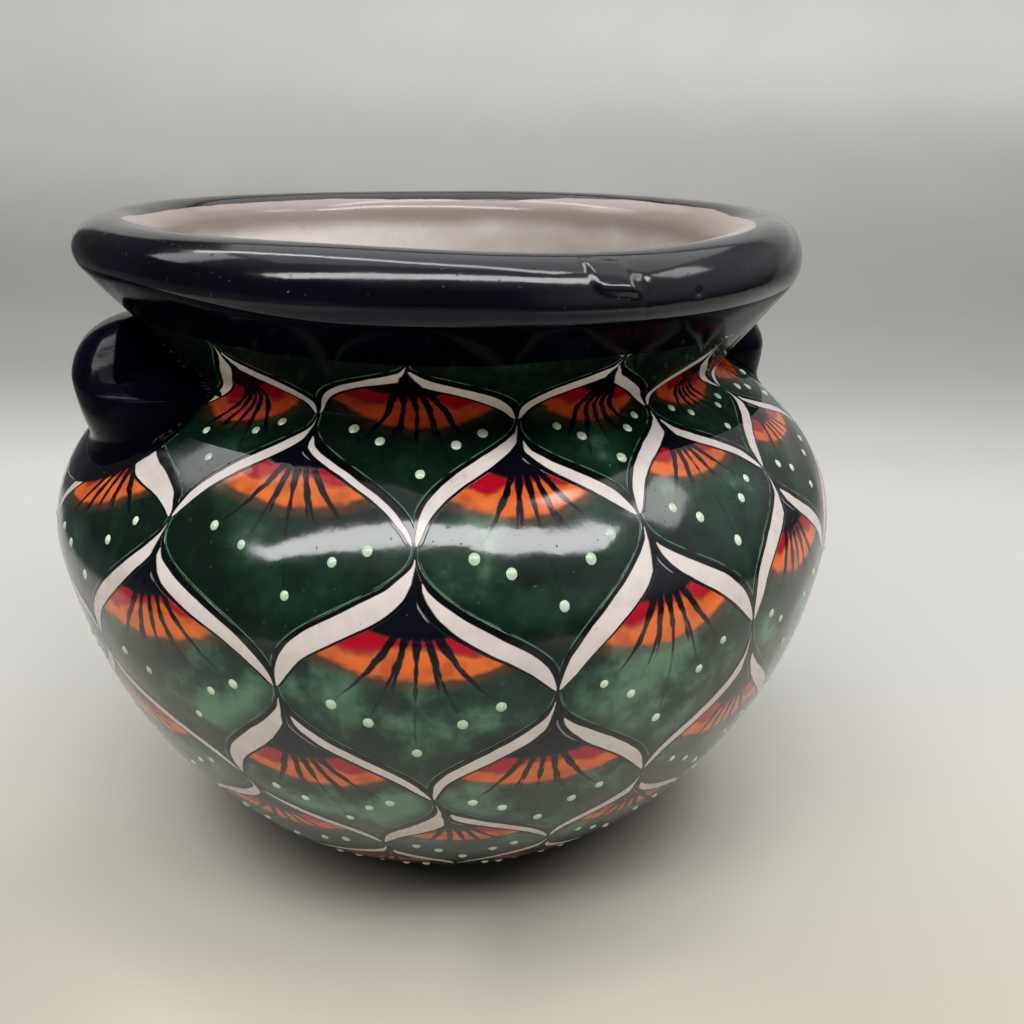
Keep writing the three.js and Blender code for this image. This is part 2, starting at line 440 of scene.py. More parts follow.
@dataclass(frozen=True)
class FeatherLattice:
    """Where the painter's feathers hang: a smooth map from azimuth and arc to column and row.

    Feathers hang from the whole numbers of the lattice, on even rows half a column over. The map is
    an even lattice plus a sum of Gaussians, whose weights make it pass close to the listed
    crossings; far from those it is even again.
    """

    columns: int = 12
    middle_azimuth: float = -114.0
    reach: float = 0.9
    slack: float = 0.02
    row_arcs: tuple[float, ...] = (300, 278, 262, 250, 224.5, 187, 146.5, 105, 72.5, 42, 14, -12)
    first_row: int = -2
    # (row, first column, azimuths of the crossings, their arcs)
    crossings: tuple = (
        (1, -1.0, (-145.0, -114.5, -85.0, -64.0), (250.0, 250.0, 250.0, 249.0)),
        (2, -1.5, (-158.0, -132.5, -99.5, -74.5, -50.5), (213.5, 224.5, 224.5, 224.0, 221.0)),
        (3, -2.0, (-176.0, -146.5, -114.0, -87.2, -60.7), (161.0, 184.6, 185.5, 190.6, 192.0)),
        (4, -1.5, (-159.5, -129.3, -99.0, -72.0, -50.0), (138.0, 145.3, 146.7, 151.4, 154.0)),
        (5, -1.0, (-138.5, -112.8, -84.5), (103.0, 106.0, 104.0)),
        (6, -0.5, (-120.5, -95.5), (73.4, 72.0)),
    )

    def even(self, azimuth: Array, arc: Array) -> Array:
        """Even lattice: azimuth over the pitch, and a curve through the rows.

        Args:
            azimuth: Azimuths in degrees.
            arc: Arcs in millimetres.

        Returns:
            Column and row, as the last axis.
        """
        rows = self.first_row + np.arange(len(self.row_arcs), dtype=float)
        row = through_points(-np.asarray(arc, float), -np.array(self.row_arcs, float), rows)
        column = (np.asarray(azimuth, float) - self.middle_azimuth) * self.columns / 360
        return np.stack(np.broadcast_arrays(column, row), -1)

    def _bells(self, at: Array, centres: Array) -> Array:
        """Gaussians of the distance from each place to each centre, wrapped round the pot.

        Args:
            at: Columns and rows of the places.
            centres: Columns and rows of the centres.

        Returns:
            One number for each centre, as the last axis.
        """
        across = at[..., None, 0] - centres[:, 0]
        across = (across + self.columns / 2) % self.columns - self.columns / 2
        squared = across**2 + (at[..., None, 1] - centres[:, 1]) ** 2
        return np.exp(-squared / (2 * self.reach**2))

    def _solved(self) -> tuple[Array, Array]:
        """Solves for the Gaussians that move the even lattice onto the crossings.

        Returns:
            Centres of the Gaussians, and their weights.
        """
        rows = [
            (first + k, row, azimuth, arc)
            for row, first, azimuths, arcs in self.crossings
            for k, (azimuth, arc) in enumerate(zip(azimuths, arcs))
        ]
        placed = np.array(rows, float)
        centres = self.even(placed[:, 2], placed[:, 3])
        stiffness = self._bells(centres, centres) + self.slack * np.eye(len(placed))
        return centres, np.linalg.solve(stiffness, placed[:, :2] - centres)

    def at(self, azimuth: Array, arc: Array) -> Array:
        """Even lattice plus the weighted Gaussians.

        Args:
            azimuth: Azimuths in degrees.
            arc: Arcs in millimetres.

        Returns:
            Column and row, as the last axis.
        """
        centres, weights = self._solved()
        even = self.even(azimuth, arc)
        return even + self._bells(even, centres) @ weights

    def place(self, column: Array, row: Array) -> tuple[Array, Array]:
        """Azimuth and arc of lattice places, by a few steps of Newton's method.

        Args:
            column: Wanted columns.
            row: Wanted rows.

        Returns:
            Azimuths in degrees and arcs in millimetres.
        """
        rows = self.first_row + np.arange(len(self.row_arcs), dtype=float)
        azimuth = self.middle_azimuth + column * 360 / self.columns
        arc = np.interp(row, rows, self.row_arcs)
        step = 0.1
        for _ in range(8):
            here = self.at(azimuth, arc)
            across = (self.at(azimuth + step, arc) - here) / step
            along = (self.at(azimuth, arc + step) - here) / step
            miss = np.stack([column, row], -1) - here
            area = across[..., 0] * along[..., 1] - across[..., 1] * along[..., 0]
            azimuth = azimuth + (miss[..., 0] * along[..., 1] - miss[..., 1] * along[..., 0]) / area
            arc = arc + (across[..., 0] * miss[..., 1] - across[..., 1] * miss[..., 0]) / area
        return azimuth, arc


@dataclass(frozen=True)
class BrushStrokes:
    """How broad the painter's white strokes are, and where along its length each is broadest.

    Each stroke runs from a node down to the next row, half a column aside. Its values hold round
    its middle and pass smoothly into its neighbours' and, further off, into the plain ones.
    """

    plain_width: float = 3.4
    plain_peak: float = 0.55
    plain_weight: float = 0.02
    reach: float = 0.2
    # (row, column, width and peak of the stroke to the left, the same of the one to the right)
    measured: tuple = (
        (1, -1.0, 4.6, 0.50, 3.4, 0.62),
        (1, 0.0, 3.2, 0.28, 4.5, 0.76),
        (1, 1.0, 3.7, 0.55, 3.9, 0.62),
        (1, 2.0, 2.6, 0.50, 3.6, 0.60),
        (2, -1.5, 4.0, 0.50, 7.0, 0.55),
        (2, -0.5, 3.6, 0.50, 2.1, 0.55),
        (2, 0.5, 4.1, 0.50, 4.3, 0.74),
        (2, 1.5, 4.8, 0.50, 3.6, 0.62),
        (3, -1.0, 5.6, 0.60, 4.9, 0.58),
        (3, 0.0, 6.4, 0.58, 5.1, 0.66),
        (3, 1.0, 6.7, 0.55, 6.2, 0.66),
        (3, 2.0, 5.4, 0.50, 4.6, 0.60),
        (4, -1.5, 3.6, 0.50, 3.5, 0.55),
        (4, -0.5, 5.6, 0.50, 2.8, 0.55),
        (4, 0.5, 3.8, 0.50, 4.9, 0.60),
        (4, 1.5, 3.2, 0.50, 5.0, 0.55),
        (5, -1.0, 3.2, 0.50, 2.6, 0.55),
        (5, 0.0, 6.0, 0.45, 2.8, 0.55),
        (5, 1.0, 3.2, 0.50, 4.0, 0.55),
    )

    def at(self, feather: Array, columns: int) -> Array:
        """Width and peak at places of the lattice: means weighted by Gaussians of the distance.

        Args:
            feather: Column and row of each place.
            columns: Columns round the pot.

        Returns:
            Width in millimetres and peak from 0 to 1, as the last axis.
        """
        table = np.array(self.measured)
        sides = ((-0.25, table[:, 2:4]), (0.25, table[:, 4:6]))
        middles = np.concatenate([table[:, [1, 0]] + (side, 0.5) for side, _ in sides])
        values = np.concatenate([value for _, value in sides])
        across = feather[..., None, 0] - middles[:, 0]
        across = (across + columns / 2) % columns - columns / 2
        squared = across**2 + (feather[..., None, 1] - middles[:, 1]) ** 2
        weights = np.exp(-squared / (2 * self.reach**2))
        plain = np.array((self.plain_width, self.plain_peak))
        total = weights.sum(-1) + self.plain_weight
        return (weights @ values + self.plain_weight * plain) / total[..., None]


@dataclass(frozen=True)
class NavyCover:
    """Where the thick navy glaze covers the pot: the rim band and a leaf round each handle."""

    lower_edge: float = 249.6
    # (azimuth, arc) of places on the brushed edge inside the mouth
    upper_edge: tuple[tuple[float, float], ...] = (
        (-180, 290.5), (-160, 292.5), (-110, 294), (-75, 292), (-56, 288.5), (-42, 293), (-28, 295.5),
        (-10, 295), (10, 294.8), (25, 295.4), (52, 297.8), (80, 297.6), (105, 296.4), (125, 297.4),
        (143, 296.9), (155, 296), (168, 293.8), (180, 290.5),
    )
    edge_wave: float = 0.8
    quick_wave: float = 0.3
    leaf_arc: float = 213.0
    leaf_half_angle: float = 25.3
    leaf_half_arc: float = 37.0
    leaf_taper: float = 0.022
    leaf_blend: float = 9.0

    def depth(self, azimuth: Array, arc: Array) -> Array:
        """How far inside the navy a place is, in millimetres, negative outside it.

        The band is the smaller distance to its two waving edges, each leaf is one minus the radius
        of an ellipse that narrows upwards, and a rounded maximum joins them.

        Args:
            azimuth: Azimuths in degrees.
            arc: Arcs in millimetres.

        Returns:
            Depth of each place.
        """
        turn = np.radians(azimuth)
        low = self.lower_edge + self.edge_wave * (np.sin(4 * turn + 0.6) + 0.5 * np.sin(11 * turn))
        quick = np.sin(7 * turn + 1.1) + 0.6 * np.sin(13 * turn + 2)
        places, arcs = np.array(self.upper_edge, float).T
        high = through_points((np.asarray(azimuth) + 180) % 360 - 180, places, arcs)
        high = high + self.quick_wave * quick
        band = np.minimum(arc - low, high - arc)
        aside = (np.asarray(azimuth) + 90) % 180 - 90
        narrow = 1 + self.leaf_taper * np.maximum(arc - self.leaf_arc, 0)
        radius = np.hypot(aside * narrow / self.leaf_half_angle, (arc - self.leaf_arc) / self.leaf_half_arc)
        leaf = (1 - radius) * 0.85 * self.leaf_half_arc
        return smooth_max(band, leaf, self.leaf_blend)


# Shader arithmetic


class Shade:
    """A number that varies over the surface, written with ordinary arithmetic into shader nodes."""

    def __init__(self, tree: bpy.types.NodeTree, socket: bpy.types.NodeSocket) -> None:
        """Holds the socket that gives the number."""
        self.tree = tree
        self.socket = socket

    def math(self, operation: str, *others: "Shade | float") -> "Shade":
        """Math node of one operation on this number and up to two others.

        Args:
            operation: Blender's name of the operation.
            *others: Further numbers.

        Returns:
            Result of the node.
        """
        node = self.tree.nodes.new("ShaderNodeMath")
        node.operation = operation
        for socket, value in zip(node.inputs, (self, *others)):
            if isinstance(value, Shade):
                self.tree.links.new(value.socket, socket)
            else:
                socket.default_value = float(value)
        return Shade(self.tree, node.outputs[0])

    def __add__(self, other: "Shade | float") -> "Shade":
        """Sum."""
        return self.math("ADD", other)

    __radd__ = __add__

    def __mul__(self, other: "Shade | float") -> "Shade":
        """Product."""
        return self.math("MULTIPLY", other)

    __rmul__ = __mul__

    def __sub__(self, other: "Shade | float") -> "Shade":
        """Difference."""
        return self.math("SUBTRACT", other)

    def __rsub__(self, other: float) -> "Shade":
        """Difference from a plain number."""
        return self.math("MULTIPLY_ADD", -1.0, other)

    def __truediv__(self, other: "Shade | float") -> "Shade":
        """Quotient."""
        return self.math("DIVIDE", other)

    def __pow__(self, other: "Shade | float") -> "Shade":
        """Power."""
        return self.math("POWER", other)

    def __abs__(self) -> "Shade":
        """Size without sign."""
        return self.math("ABSOLUTE")

    def __gt__(self, other: "Shade | float") -> "Shade":
        """1 where this number is larger."""
        return self.math("GREATER_THAN", other)

    def ramp(self, start: "Shade | float", end: "Shade | float", kind: str = "SMOOTHSTEP") -> "Shade":
        """Map Range node from 0 at start to 1 at end, held outside.

        Args:
            start: Number that gives 0.
            end: Number that gives 1.
            kind: Blender's name of the way between them.

        Returns:
            Share from 0 to 1.
        """
        node = self.tree.nodes.new("ShaderNodeMapRange")
        node.interpolation_type = kind
        for name, value in (("Value", self), ("From Min", start), ("From Max", end)):
            if isinstance(value, Shade):
                self.tree.links.new(value.socket, node.inputs[name])
            else:
                node.inputs[name].default_value = float(value)
        return Shade(self.tree, node.outputs[0])

    def band(self, start: "Shade | float", end: "Shade | float", soft: float) -> "Shade":
        """1 between start and end, with edges that fade over twice soft."""
        rise = self.ramp(start - soft, start + soft)
        return rise * (1 - self.ramp(end - soft, end + soft))


class Canvas:
    """A shader node tree with the few kinds of node that the finishes use."""

    def __init__(self, tree: bpy.types.NodeTree) -> None:
        """Holds the tree."""
        self.tree = tree

    def shade(self, socket: bpy.types.NodeSocket) -> Shade:
        """The socket as a number to calculate with."""
        return Shade(self.tree, socket)

    def constant(self, value: float) -> Shade:
        """A plain number in the tree.

        Args:
            value: The number.

        Returns:
            The number as a shade.
        """
        node = self.tree.nodes.new("ShaderNodeValue")
        node.outputs[0].default_value = value
        return Shade(self.tree, node.outputs[0])

    def split(self, vector: bpy.types.NodeSocket) -> tuple[Shade, Shade]:
        """Takes a vector apart.

        Args:
            vector: Socket that gives the vector.

        Returns:
            Its first two numbers.
        """
        node = self.tree.nodes.new("ShaderNodeSeparateXYZ")
        self.tree.links.new(vector, node.inputs[0])
        return Shade(self.tree, node.outputs[0]), Shade(self.tree, node.outputs[1])

    def noise(self, vector: bpy.types.NodeSocket, scale: float, detail: float = 2.0,
              seed: float = 0.0, rough: float = 0.5) -> Shade:
        """Cloudy noise about 0.5, from a 4-D noise texture whose last place is the seed.

        Args:
            vector: Socket that gives the place.
            scale: Clouds to a unit of length.
            detail: Finer layers.
            seed: Tells one noise from another.
            rough: Strength of each finer layer.

        Returns:
            The noise.
        """
        node = self.tree.nodes.new("ShaderNodeTexNoise")
        node.noise_dimensions = "4D"
        self.tree.links.new(vector, node.inputs["Vector"])
        for name, value in (("W", seed), ("Scale", scale), ("Detail", detail), ("Roughness", rough)):
            node.inputs[name].default_value = value
        return Shade(self.tree, node.outputs[0])

    def sway(self, column: Shade, row: Shade, phase: float) -> Shade:
        """Number from -1 to 1 for each feather: sine of 7.13 column + 4.37 row + phase."""
        return (column * 7.13 + row * 4.37 + phase).math("SINE")

    def mix(self, mask: "Shade | float", under: object, over: object) -> bpy.types.NodeSocket:
        """Lays one colour on another; each is a socket or sRGB bytes.

        Args:
            mask: 1 where the upper colour covers.
            under: Lower colour.
            over: Upper colour.

        Returns:
            Socket of the mixed colour.
        """
        node = self.tree.nodes.new("ShaderNodeMix")
        node.data_type = "RGBA"
        if isinstance(mask, Shade):
            self.tree.links.new(mask.socket, node.inputs[0])
        else:
            node.inputs[0].default_value = mask
        for socket, colour in ((node.inputs[6], under), (node.inputs[7], over)):
            if isinstance(colour, bpy.types.NodeSocket):
                self.tree.links.new(colour, socket)
            else:
                socket.default_value = paint(*colour)
        return node.outputs[2]


def is_near(number: Shade, whole: int) -> Shade:
    """1 where a number is within 0.4 of a whole one, and 0 past 0.6."""
    return 1 - abs(number - whole).ramp(0.4, 0.6)


def paint(red: float, green: float, blue: float) -> tuple[float, float, float, float]:
    """Linear colour of sRGB bytes: ((c + 0.055) / 1.055)^2.4, or c / 12.92 where it is dark.

    Args:
        red: Red byte.
        green: Green byte.
        blue: Blue byte.

    Returns:
        Red, green, blue and a full alpha.
    """
    shares = (value / 255 for value in (red, green, blue))
    linear = (s / 12.92 if s <= 0.04045 else ((s + 0.055) / 1.055) ** 2.4 for s in shares)
    return (*linear, 1.0)


def new_group(name: str, inputs: dict[str, str], outputs: dict[str, str]) -> tuple[Canvas, dict, dict]:
    """Empty shader node group with named sockets.

    Args:
        name: Name of the group.
        inputs: Kind of each input socket by its name.
        outputs: Kind of each output socket by its name.

    Returns:
        Canvas of the group, its input sockets and its output sockets, both by name.
    """
    tree = bpy.data.node_groups.new(name, "ShaderNodeTree")
    for label, kind in inputs.items():
        tree.interface.new_socket(label, in_out="INPUT", socket_type=kind)
    for label, kind in outputs.items():
        tree.interface.new_socket(label, in_out="OUTPUT", socket_type=kind)
    start, end = tree.nodes.new("NodeGroupInput"), tree.nodes.new("NodeGroupOutput")
    return (
        Canvas(tree),
        {label: start.outputs[label] for label in inputs},
        {label: end.inputs[label] for label in outputs},
    )


@dataclass(frozen=True)
class Cell:
    """Where a point lies in its cell of the lattice, and in the feather that owns it."""

    row: Shade  # row that the cell hangs from
    down: Shade  # share of the way from that row to the next
    side: Shade  # -1 left of the nearest feather's middle, 1 right of it
    key: Shade  # tells the two sides of every feather apart
    inner: Shade  # millimetres in from that feather's edge
    room: Shade  # millimetres from its edge to its middle
    hangs: Shade  # 1 on that feather, 0 on the one of the row before
    across: Shade  # half columns from the owner's middle
    below: Shade  # rows below the owner's node
    owner: Shade  # column of the owner
    owner_row: Shade  # row of the owner


@dataclass(frozen=True)
class Strokes:
    """Masks of the brush strokes along a feather's edge and of a painted glint beside them, and the
    millimetres that place them.
    """

    white: Shade
    lines: Shade
    # seam: a painted glint, a thin pale line standing for a highlight along the right-hand stroke
    seam: Shade
    depth: Shade  # distance in from the edge, with the hand's wobble
    foot: Shade  # distance at which the lower dark line ends


@dataclass(frozen=True)
class FeatherPaint:
    """The painter's feather: sizes of its strokes in millimetres and its colours as sRGB bytes."""

    outline: float = 1.2
    lower_line: float = 1.0
    soft: float = 0.14
    ray: float = 1.15
    wobble: float = 0.9
    squareness: float = 0.93
    stroke_start: float = 0.15
    stroke_power: float = 0.72
    red_ring: tuple[float, float] = (0.55, 0.59)
    green_ring: tuple[float, float] = (0.825, 0.87)
    stain_end: float = 0.955
    # (half columns aside, rows down, curl, weight) of the short rays that end in no dot
    short_rays: tuple = ((0.17, 0.95, 1.4, 0.75), (0.46, 0.92, 2.0, 0.7))
    green_deep: tuple = (11, 25, 17)
    green: tuple = (28, 55, 40)
    green_light: tuple = (96, 134, 110)
    green_pool: tuple = (8, 24, 16)
    orange: tuple = (220, 104, 38)
    orange_deep: tuple = (150, 62, 30)
    crimson: tuple = (166, 8, 32)
    stain: tuple = (96, 60, 28)
    navy: tuple = (8, 8, 18)
    line: tuple = (6, 7, 9)
    white: tuple = (212, 203, 198)
    white_thin: tuple = (192, 180, 172)
    # seam: colour of the painted glint beside the right-hand strokes
    seam: tuple = (150, 148, 150)
    mint: tuple = (92, 140, 110)
    # shade: colour of painted shade laid over the top rows, where the rim's overhang shades the shoulder
    shade: tuple = (11, 12, 13)

    def cell(self, canvas: Canvas, feather: bpy.types.NodeSocket, size: bpy.types.NodeSocket) -> Cell:
        """Finds the cell and the feather of each point.

        Between two rows, a point belongs to the feather that hangs from the upper row where its
        distance from that feather's middle is less than smootherstep(depth ^ bow), and else to the
        feather of the row before. The distance to that edge is taken square to it: the difference
        across times wide · tall / √(tall² + (slope · wide)²).

        Args:
            canvas: Canvas of the group.
            feather: Column and row of the point.
            size: Millimetres of half a column and of a row.

        Returns:
            The cell's numbers.
        """
        column, v = canvas.split(feather)
        wide, tall = canvas.split(size)
        row = v.math("FLOOR")
        down = v - row
        over = (1 - (row * 0.5).math("FRACT") * 2) * 0.5
        near = (column - over + 0.5).math("FLOOR") + over
        x = (column - near) * 2
        side = x.math("SIGN")

        key = near + side * 0.3
        first = is_near(row, 1)
        bow = first * 0.22 + side * 0.05 + canvas.sway(key, row, 0.4) * 0.09 + self.squareness
        bent = down**bow
        edge = bent.ramp(0.0, 1.0, "SMOOTHERSTEP")
        slope = bent * bent * (1 - bent) * (1 - bent) * bow * (down + 0.001) ** (bow - 1) * 30
        slant = slope * wide
        square = wide * tall / (tall * tall + slant * slant).math("SQRT")
        inner = (edge - abs(x)) * square
        hangs = inner > 0.0
        before = 1 - hangs
        return Cell(
            row, down, side, key, inner, edge * square, hangs, x - before * side, down + before,
            near + before * side * 0.5, row - before,
        )

    def strokes(self, canvas: Canvas, cell: Cell, feather: bpy.types.NodeSocket,
                stroke: bpy.types.NodeSocket) -> Strokes:
        """White stroke along each edge, the dark lines beside it, and on the right a painted glint: a thin
        pale line that stands for a highlight along the stroke's ridge.

        Each is a band of the distance to the edge. The white swells as (run / peak)^rise ·
        ((1 - run) / (1 - peak))^power, where rise puts the largest value at the peak.

        Args:
            canvas: Canvas of the group.
            cell: Numbers of the cell.
            feather: Column and row of the point.
            stroke: Width and peak of the stroke.

        Returns:
            The strokes' masks.
        """
        broad, peak = canvas.split(stroke)
        row, down, side, key = cell.row, cell.down, cell.side, cell.key
        depth = cell.inner + (canvas.noise(feather, 6.0, 1.0, 3.0) - 0.5) * self.wobble
        start = side * 0.09 + canvas.sway(key, row, 1.9) * 0.03 + self.stroke_start
        run = (down - start) / (1 - start)
        run = run.math("MAXIMUM", 0.0).math("MINIMUM", 1.0)
        rise = peak * self.stroke_power / (1 - peak)
        swell = (run / peak) ** rise * ((1 - run) / (1 - peak)) ** self.stroke_power
        leaf = swell * (broad + canvas.sway(key, row, 3.1) * 0.2)
        top = side * 0.33 + canvas.sway(key, row, 0.7) * 0.25 + self.outline
        top = top.math("MINIMUM", cell.room * 0.45) * (1 - down.ramp(0.84, 1.0) * 0.62)
        end = (top + leaf).math("MINIMUM", cell.room * 0.8)
        foot = end + (canvas.sway(key, row, 5.7) * 0.2 + self.lower_line)
        white = depth.band(top, end, self.soft) * (leaf > 0.15)
        lines = depth.band(-0.5, top, self.soft).math("MAXIMUM", depth.band(end, foot, self.soft))
        # Painted glint: a thin pale line beside the right-hand stroke, standing for a highlight along its
        # ridge.
        seam = depth.band(foot + 0.15, foot + 0.4, 0.1) * run.band(0.02, 0.3, 0.02)
        return Strokes(white, lines * (1 - white), seam * (side > 0.0) * (leaf > 0.3), depth, foot)

    def ground(self, canvas: Canvas, cell: Cell, strokes: Strokes,
               place: bpy.types.NodeSocket) -> bpy.types.NodeSocket:
        """Green wash: deep, plain and light clouds, and darker pools along the strokes.

        Args:
            canvas: Canvas of the group.
            cell: Numbers of the cell.
            strokes: Masks of the strokes.
            place: Object coordinates.

        Returns:
            The wash's colour.
        """
        # The wash is lighter in lower rows: partly its own paler clouds, partly painted light standing for
        # the floor's pale reflection on the lower belly.
        cloud = canvas.noise(place, 38.0, 4.0, 1.0, 0.62) + cell.owner_row.ramp(1.6, 3.2) * 0.15 - 0.07
        low = cell.down.ramp(0.75, 1.0)
        pool = (strokes.depth - strokes.foot) * (1 - low) + strokes.depth * low
        pool = pool * cell.hangs - (strokes.depth + 0.5) * (1 - cell.hangs)
        colour = canvas.mix(cloud.ramp(0.36, 0.60), self.green_deep, self.green)
        colour = canvas.mix(cloud.ramp(0.53, 0.74) * 0.88, colour, self.green_light)
        return canvas.mix((1 - pool.ramp(0.0, 6.0)) * 0.75, colour, self.green_pool)

    def rays(self, canvas: Canvas, feather: bpy.types.NodeSocket, wide: Shade, aside: Shade,
             reach: Shade) -> Shade:
        """Mask of the navy rays, each the line aside = far · (reach / down)^curl, thinning outwards.

        Args:
            canvas: Canvas of the group.
            feather: Column and row of the point.
            wide: Millimetres of half a column.
            aside: Half columns from the fan's middle.
            reach: Rows below the fan's node.

        Returns:
            1 on the rays.
        """
        rays = canvas.constant(0.0)
        taper = 1 - reach.ramp(0.35, 1.0, "LINEAR")
        lines = (*((*end, 1.0) for end in DotFan().ends()), *self.short_rays)
        for number, (far, down, curl, weight) in enumerate(lines):
            middle = (reach / down) ** curl * far
            shaky = (canvas.noise(feather, 9.0, 1.0, 15.0 + number) - 0.5) * 1.9
            beside = abs(aside) if number else aside
            off = abs(beside - middle) * wide - taper * self.ray * weight + shaky
            ray = (1 - off.ramp(0.0, 0.5)) * (1 - reach.ramp(down - 0.08, down))
            rays = rays.math("MAXIMUM", ray)
        return rays

    def fan(self, canvas: Canvas, cell: Cell, inside: dict[str, bpy.types.NodeSocket],
            colour: bpy.types.NodeSocket) -> tuple[bpy.types.NodeSocket, Shade]:
        """Fan of rings round the owner's node, navy, crimson and orange, crossed by rays.

        A ring's number is √(below² + 0.49 · across²) plus noise.

        Args:
            canvas: Canvas of the group.
            cell: Numbers of the cell.
            inside: Inputs of the group by name.
            colour: Colour under the fan.

        Returns:
            Colour with the fan, and a mask that is 0 on its navy heart.
        """
        mix, feather = canvas.mix, inside["Feather"]
        wide, _ = canvas.split(inside["Size"])
        p = cell.across
        under_rim = is_near(cell.owner_row, 1)
        fanned = 1 - is_near(cell.owner_row, 0)
        reach = cell.below / (under_rim * 0.3 + 1.0)
        lean = canvas.sway(cell.owner, cell.owner_row, 2.6)
        ragged = (canvas.noise(feather, 14.0, 1.0, 5.0) - 0.5) * 0.07
        ring = (reach * reach + p * p * 0.49).math("SQRT") + ragged + lean * 0.015
        crimson_end = abs(p).ramp(0.10, 0.42) * 0.115 + 0.615
        red = ring.ramp(*self.red_ring)
        orange = ring.ramp(crimson_end - 0.03, crimson_end + 0.03)
        green = ring.ramp(*self.green_ring)
        stain = 1 - ring.ramp(self.green_ring[1], self.stain_end)

        colour = mix(stain * fanned * (0.5 - under_rim * 0.3), colour, self.stain)
        brushed = canvas.noise(inside["Place"], 150.0, 3.0, 19.0).ramp(0.4, 0.7) * 0.6
        warm = mix(under_rim * 0.45, mix(brushed, self.orange, self.orange_deep), self.crimson)
        colour = mix(orange * fanned * (1 - green), colour, warm)
        colour = mix((1 - orange) * red, colour, self.crimson)
        rays = self.rays(canvas, feather, wide, p - lean * 0.05 * reach * reach, reach)
        colour = mix(rays * (1 - reach.ramp(0.82, 1.1) * 0.45), colour, self.navy)
        return mix(1 - red, colour, self.navy), red

    def group(self) -> bpy.types.NodeTree:
        """Node group that paints one feather in each cell of the lattice.

        Returns:
            Group with a colour, the strokes' relief in millimetres and a mask of the matt white.
        """
        canvas, inside, outside = new_group(
            "feather_paint",
            {label: "NodeSocketVector" for label in ("Feather", "Size", "Stroke", "Place")},
            {"Color": "NodeSocketColor", "Relief": "NodeSocketFloat", "Matt": "NodeSocketFloat"},
        )
        link, mix = canvas.tree.links.new, canvas.mix
        feather, place = inside["Feather"], inside["Place"]
        cell = self.cell(canvas, feather, inside["Size"])
        strokes = self.strokes(canvas, cell, feather, inside["Stroke"])
        colour, red = self.fan(canvas, cell, inside, self.ground(canvas, cell, strokes, place))

        _, row = canvas.split(feather)
        # Painted shade: rows up to about 2 are darkened, as under the rim's overhang.
        colour = mix((1 - row.ramp(1.75, 2.2)) * 0.4, colour, self.shade)
        patchy = canvas.noise(feather, 9.0, 1.0, 8.0).ramp(0.35, 0.55)
        halo = (-1 * cell.inner).band(0.75, 1.05, 0.12) * patchy * (1 - cell.hangs)
        colour = mix(halo * 0.7, colour, self.mint)
        colour = mix(strokes.lines, colour, self.line)
        # The painted glint is laid on here.
        colour = mix(strokes.seam * 0.8, colour, self.seam)
        chalky = canvas.noise(place, 110.0, 3.0, 17.0).ramp(0.35, 0.7)
        colour = mix(strokes.white, colour, mix(chalky * 0.6, self.white, self.white_thin))
        link(colour, outside["Color"])
        relief = strokes.lines * 0.12 + strokes.white * 0.07 + (1 - red) * 0.05
        link(relief.socket, outside["Relief"])
        link(strokes.white.socket, outside["Matt"])
        return canvas.tree


@dataclass(frozen=True)
class DotFan:
    """The five raised dots of a feather, in half columns and rows from its node."""

    middle_down: float = 1.43
    inner_aside: float = 0.34
    inner_down: float = 1.17
    outer_aside: float = 0.60
    outer_down: float = 1.05

    def ends(self) -> tuple[tuple[float, float, float], ...]:
        """Ends of the middle, inner and outer ray.

        Returns:
            (aside, down, curl) of each; curl bends a ray outwards.
        """
        return (
            (0.0, self.middle_down, 1.0),
            (self.inner_aside, self.inner_down, 2.0),
            (self.outer_aside, self.outer_down, 2.2),
        )


def kiln_surface_group() -> bpy.types.NodeTree:
    """Node group of the fired glaze: slow waves, fine ripples and sparse pinholes, in millimetres.

    Returns:
        Group with the surface's height and a mask of its duller patches.
    """
    canvas, inside, outside = new_group(
        "kiln_surface",
        {"Place": "NodeSocketVector", "Waves": "NodeSocketFloat", "Ripples": "NodeSocketFloat"},
        {"Height": "NodeSocketFloat", "Dull": "NodeSocketFloat"},
    )
    place = inside["Place"]
    slow = (canvas.noise(place, 28.0, 1.0, 2.0) - 0.5) * canvas.shade(inside["Waves"])
    slow = slow + (canvas.noise(place, 75.0, 1.0, 3.0) - 0.5) * canvas.shade(inside["Waves"]) * 0.11
    fine = (canvas.noise(place, 240.0, 2.0, 7.0) - 0.5) * canvas.shade(inside["Ripples"])
    holes = (1 - canvas.noise(place, 900.0, 0.0, 4.0).ramp(0.16, 0.22)) * 0.15
    canvas.tree.links.new((slow + fine - holes).socket, outside["Height"])
    dull = canvas.noise(place, 60.0, 3.0, 9.0).ramp(0.35, 0.75)
    canvas.tree.links.new(dull.socket, outside["Dull"])
    return canvas.tree


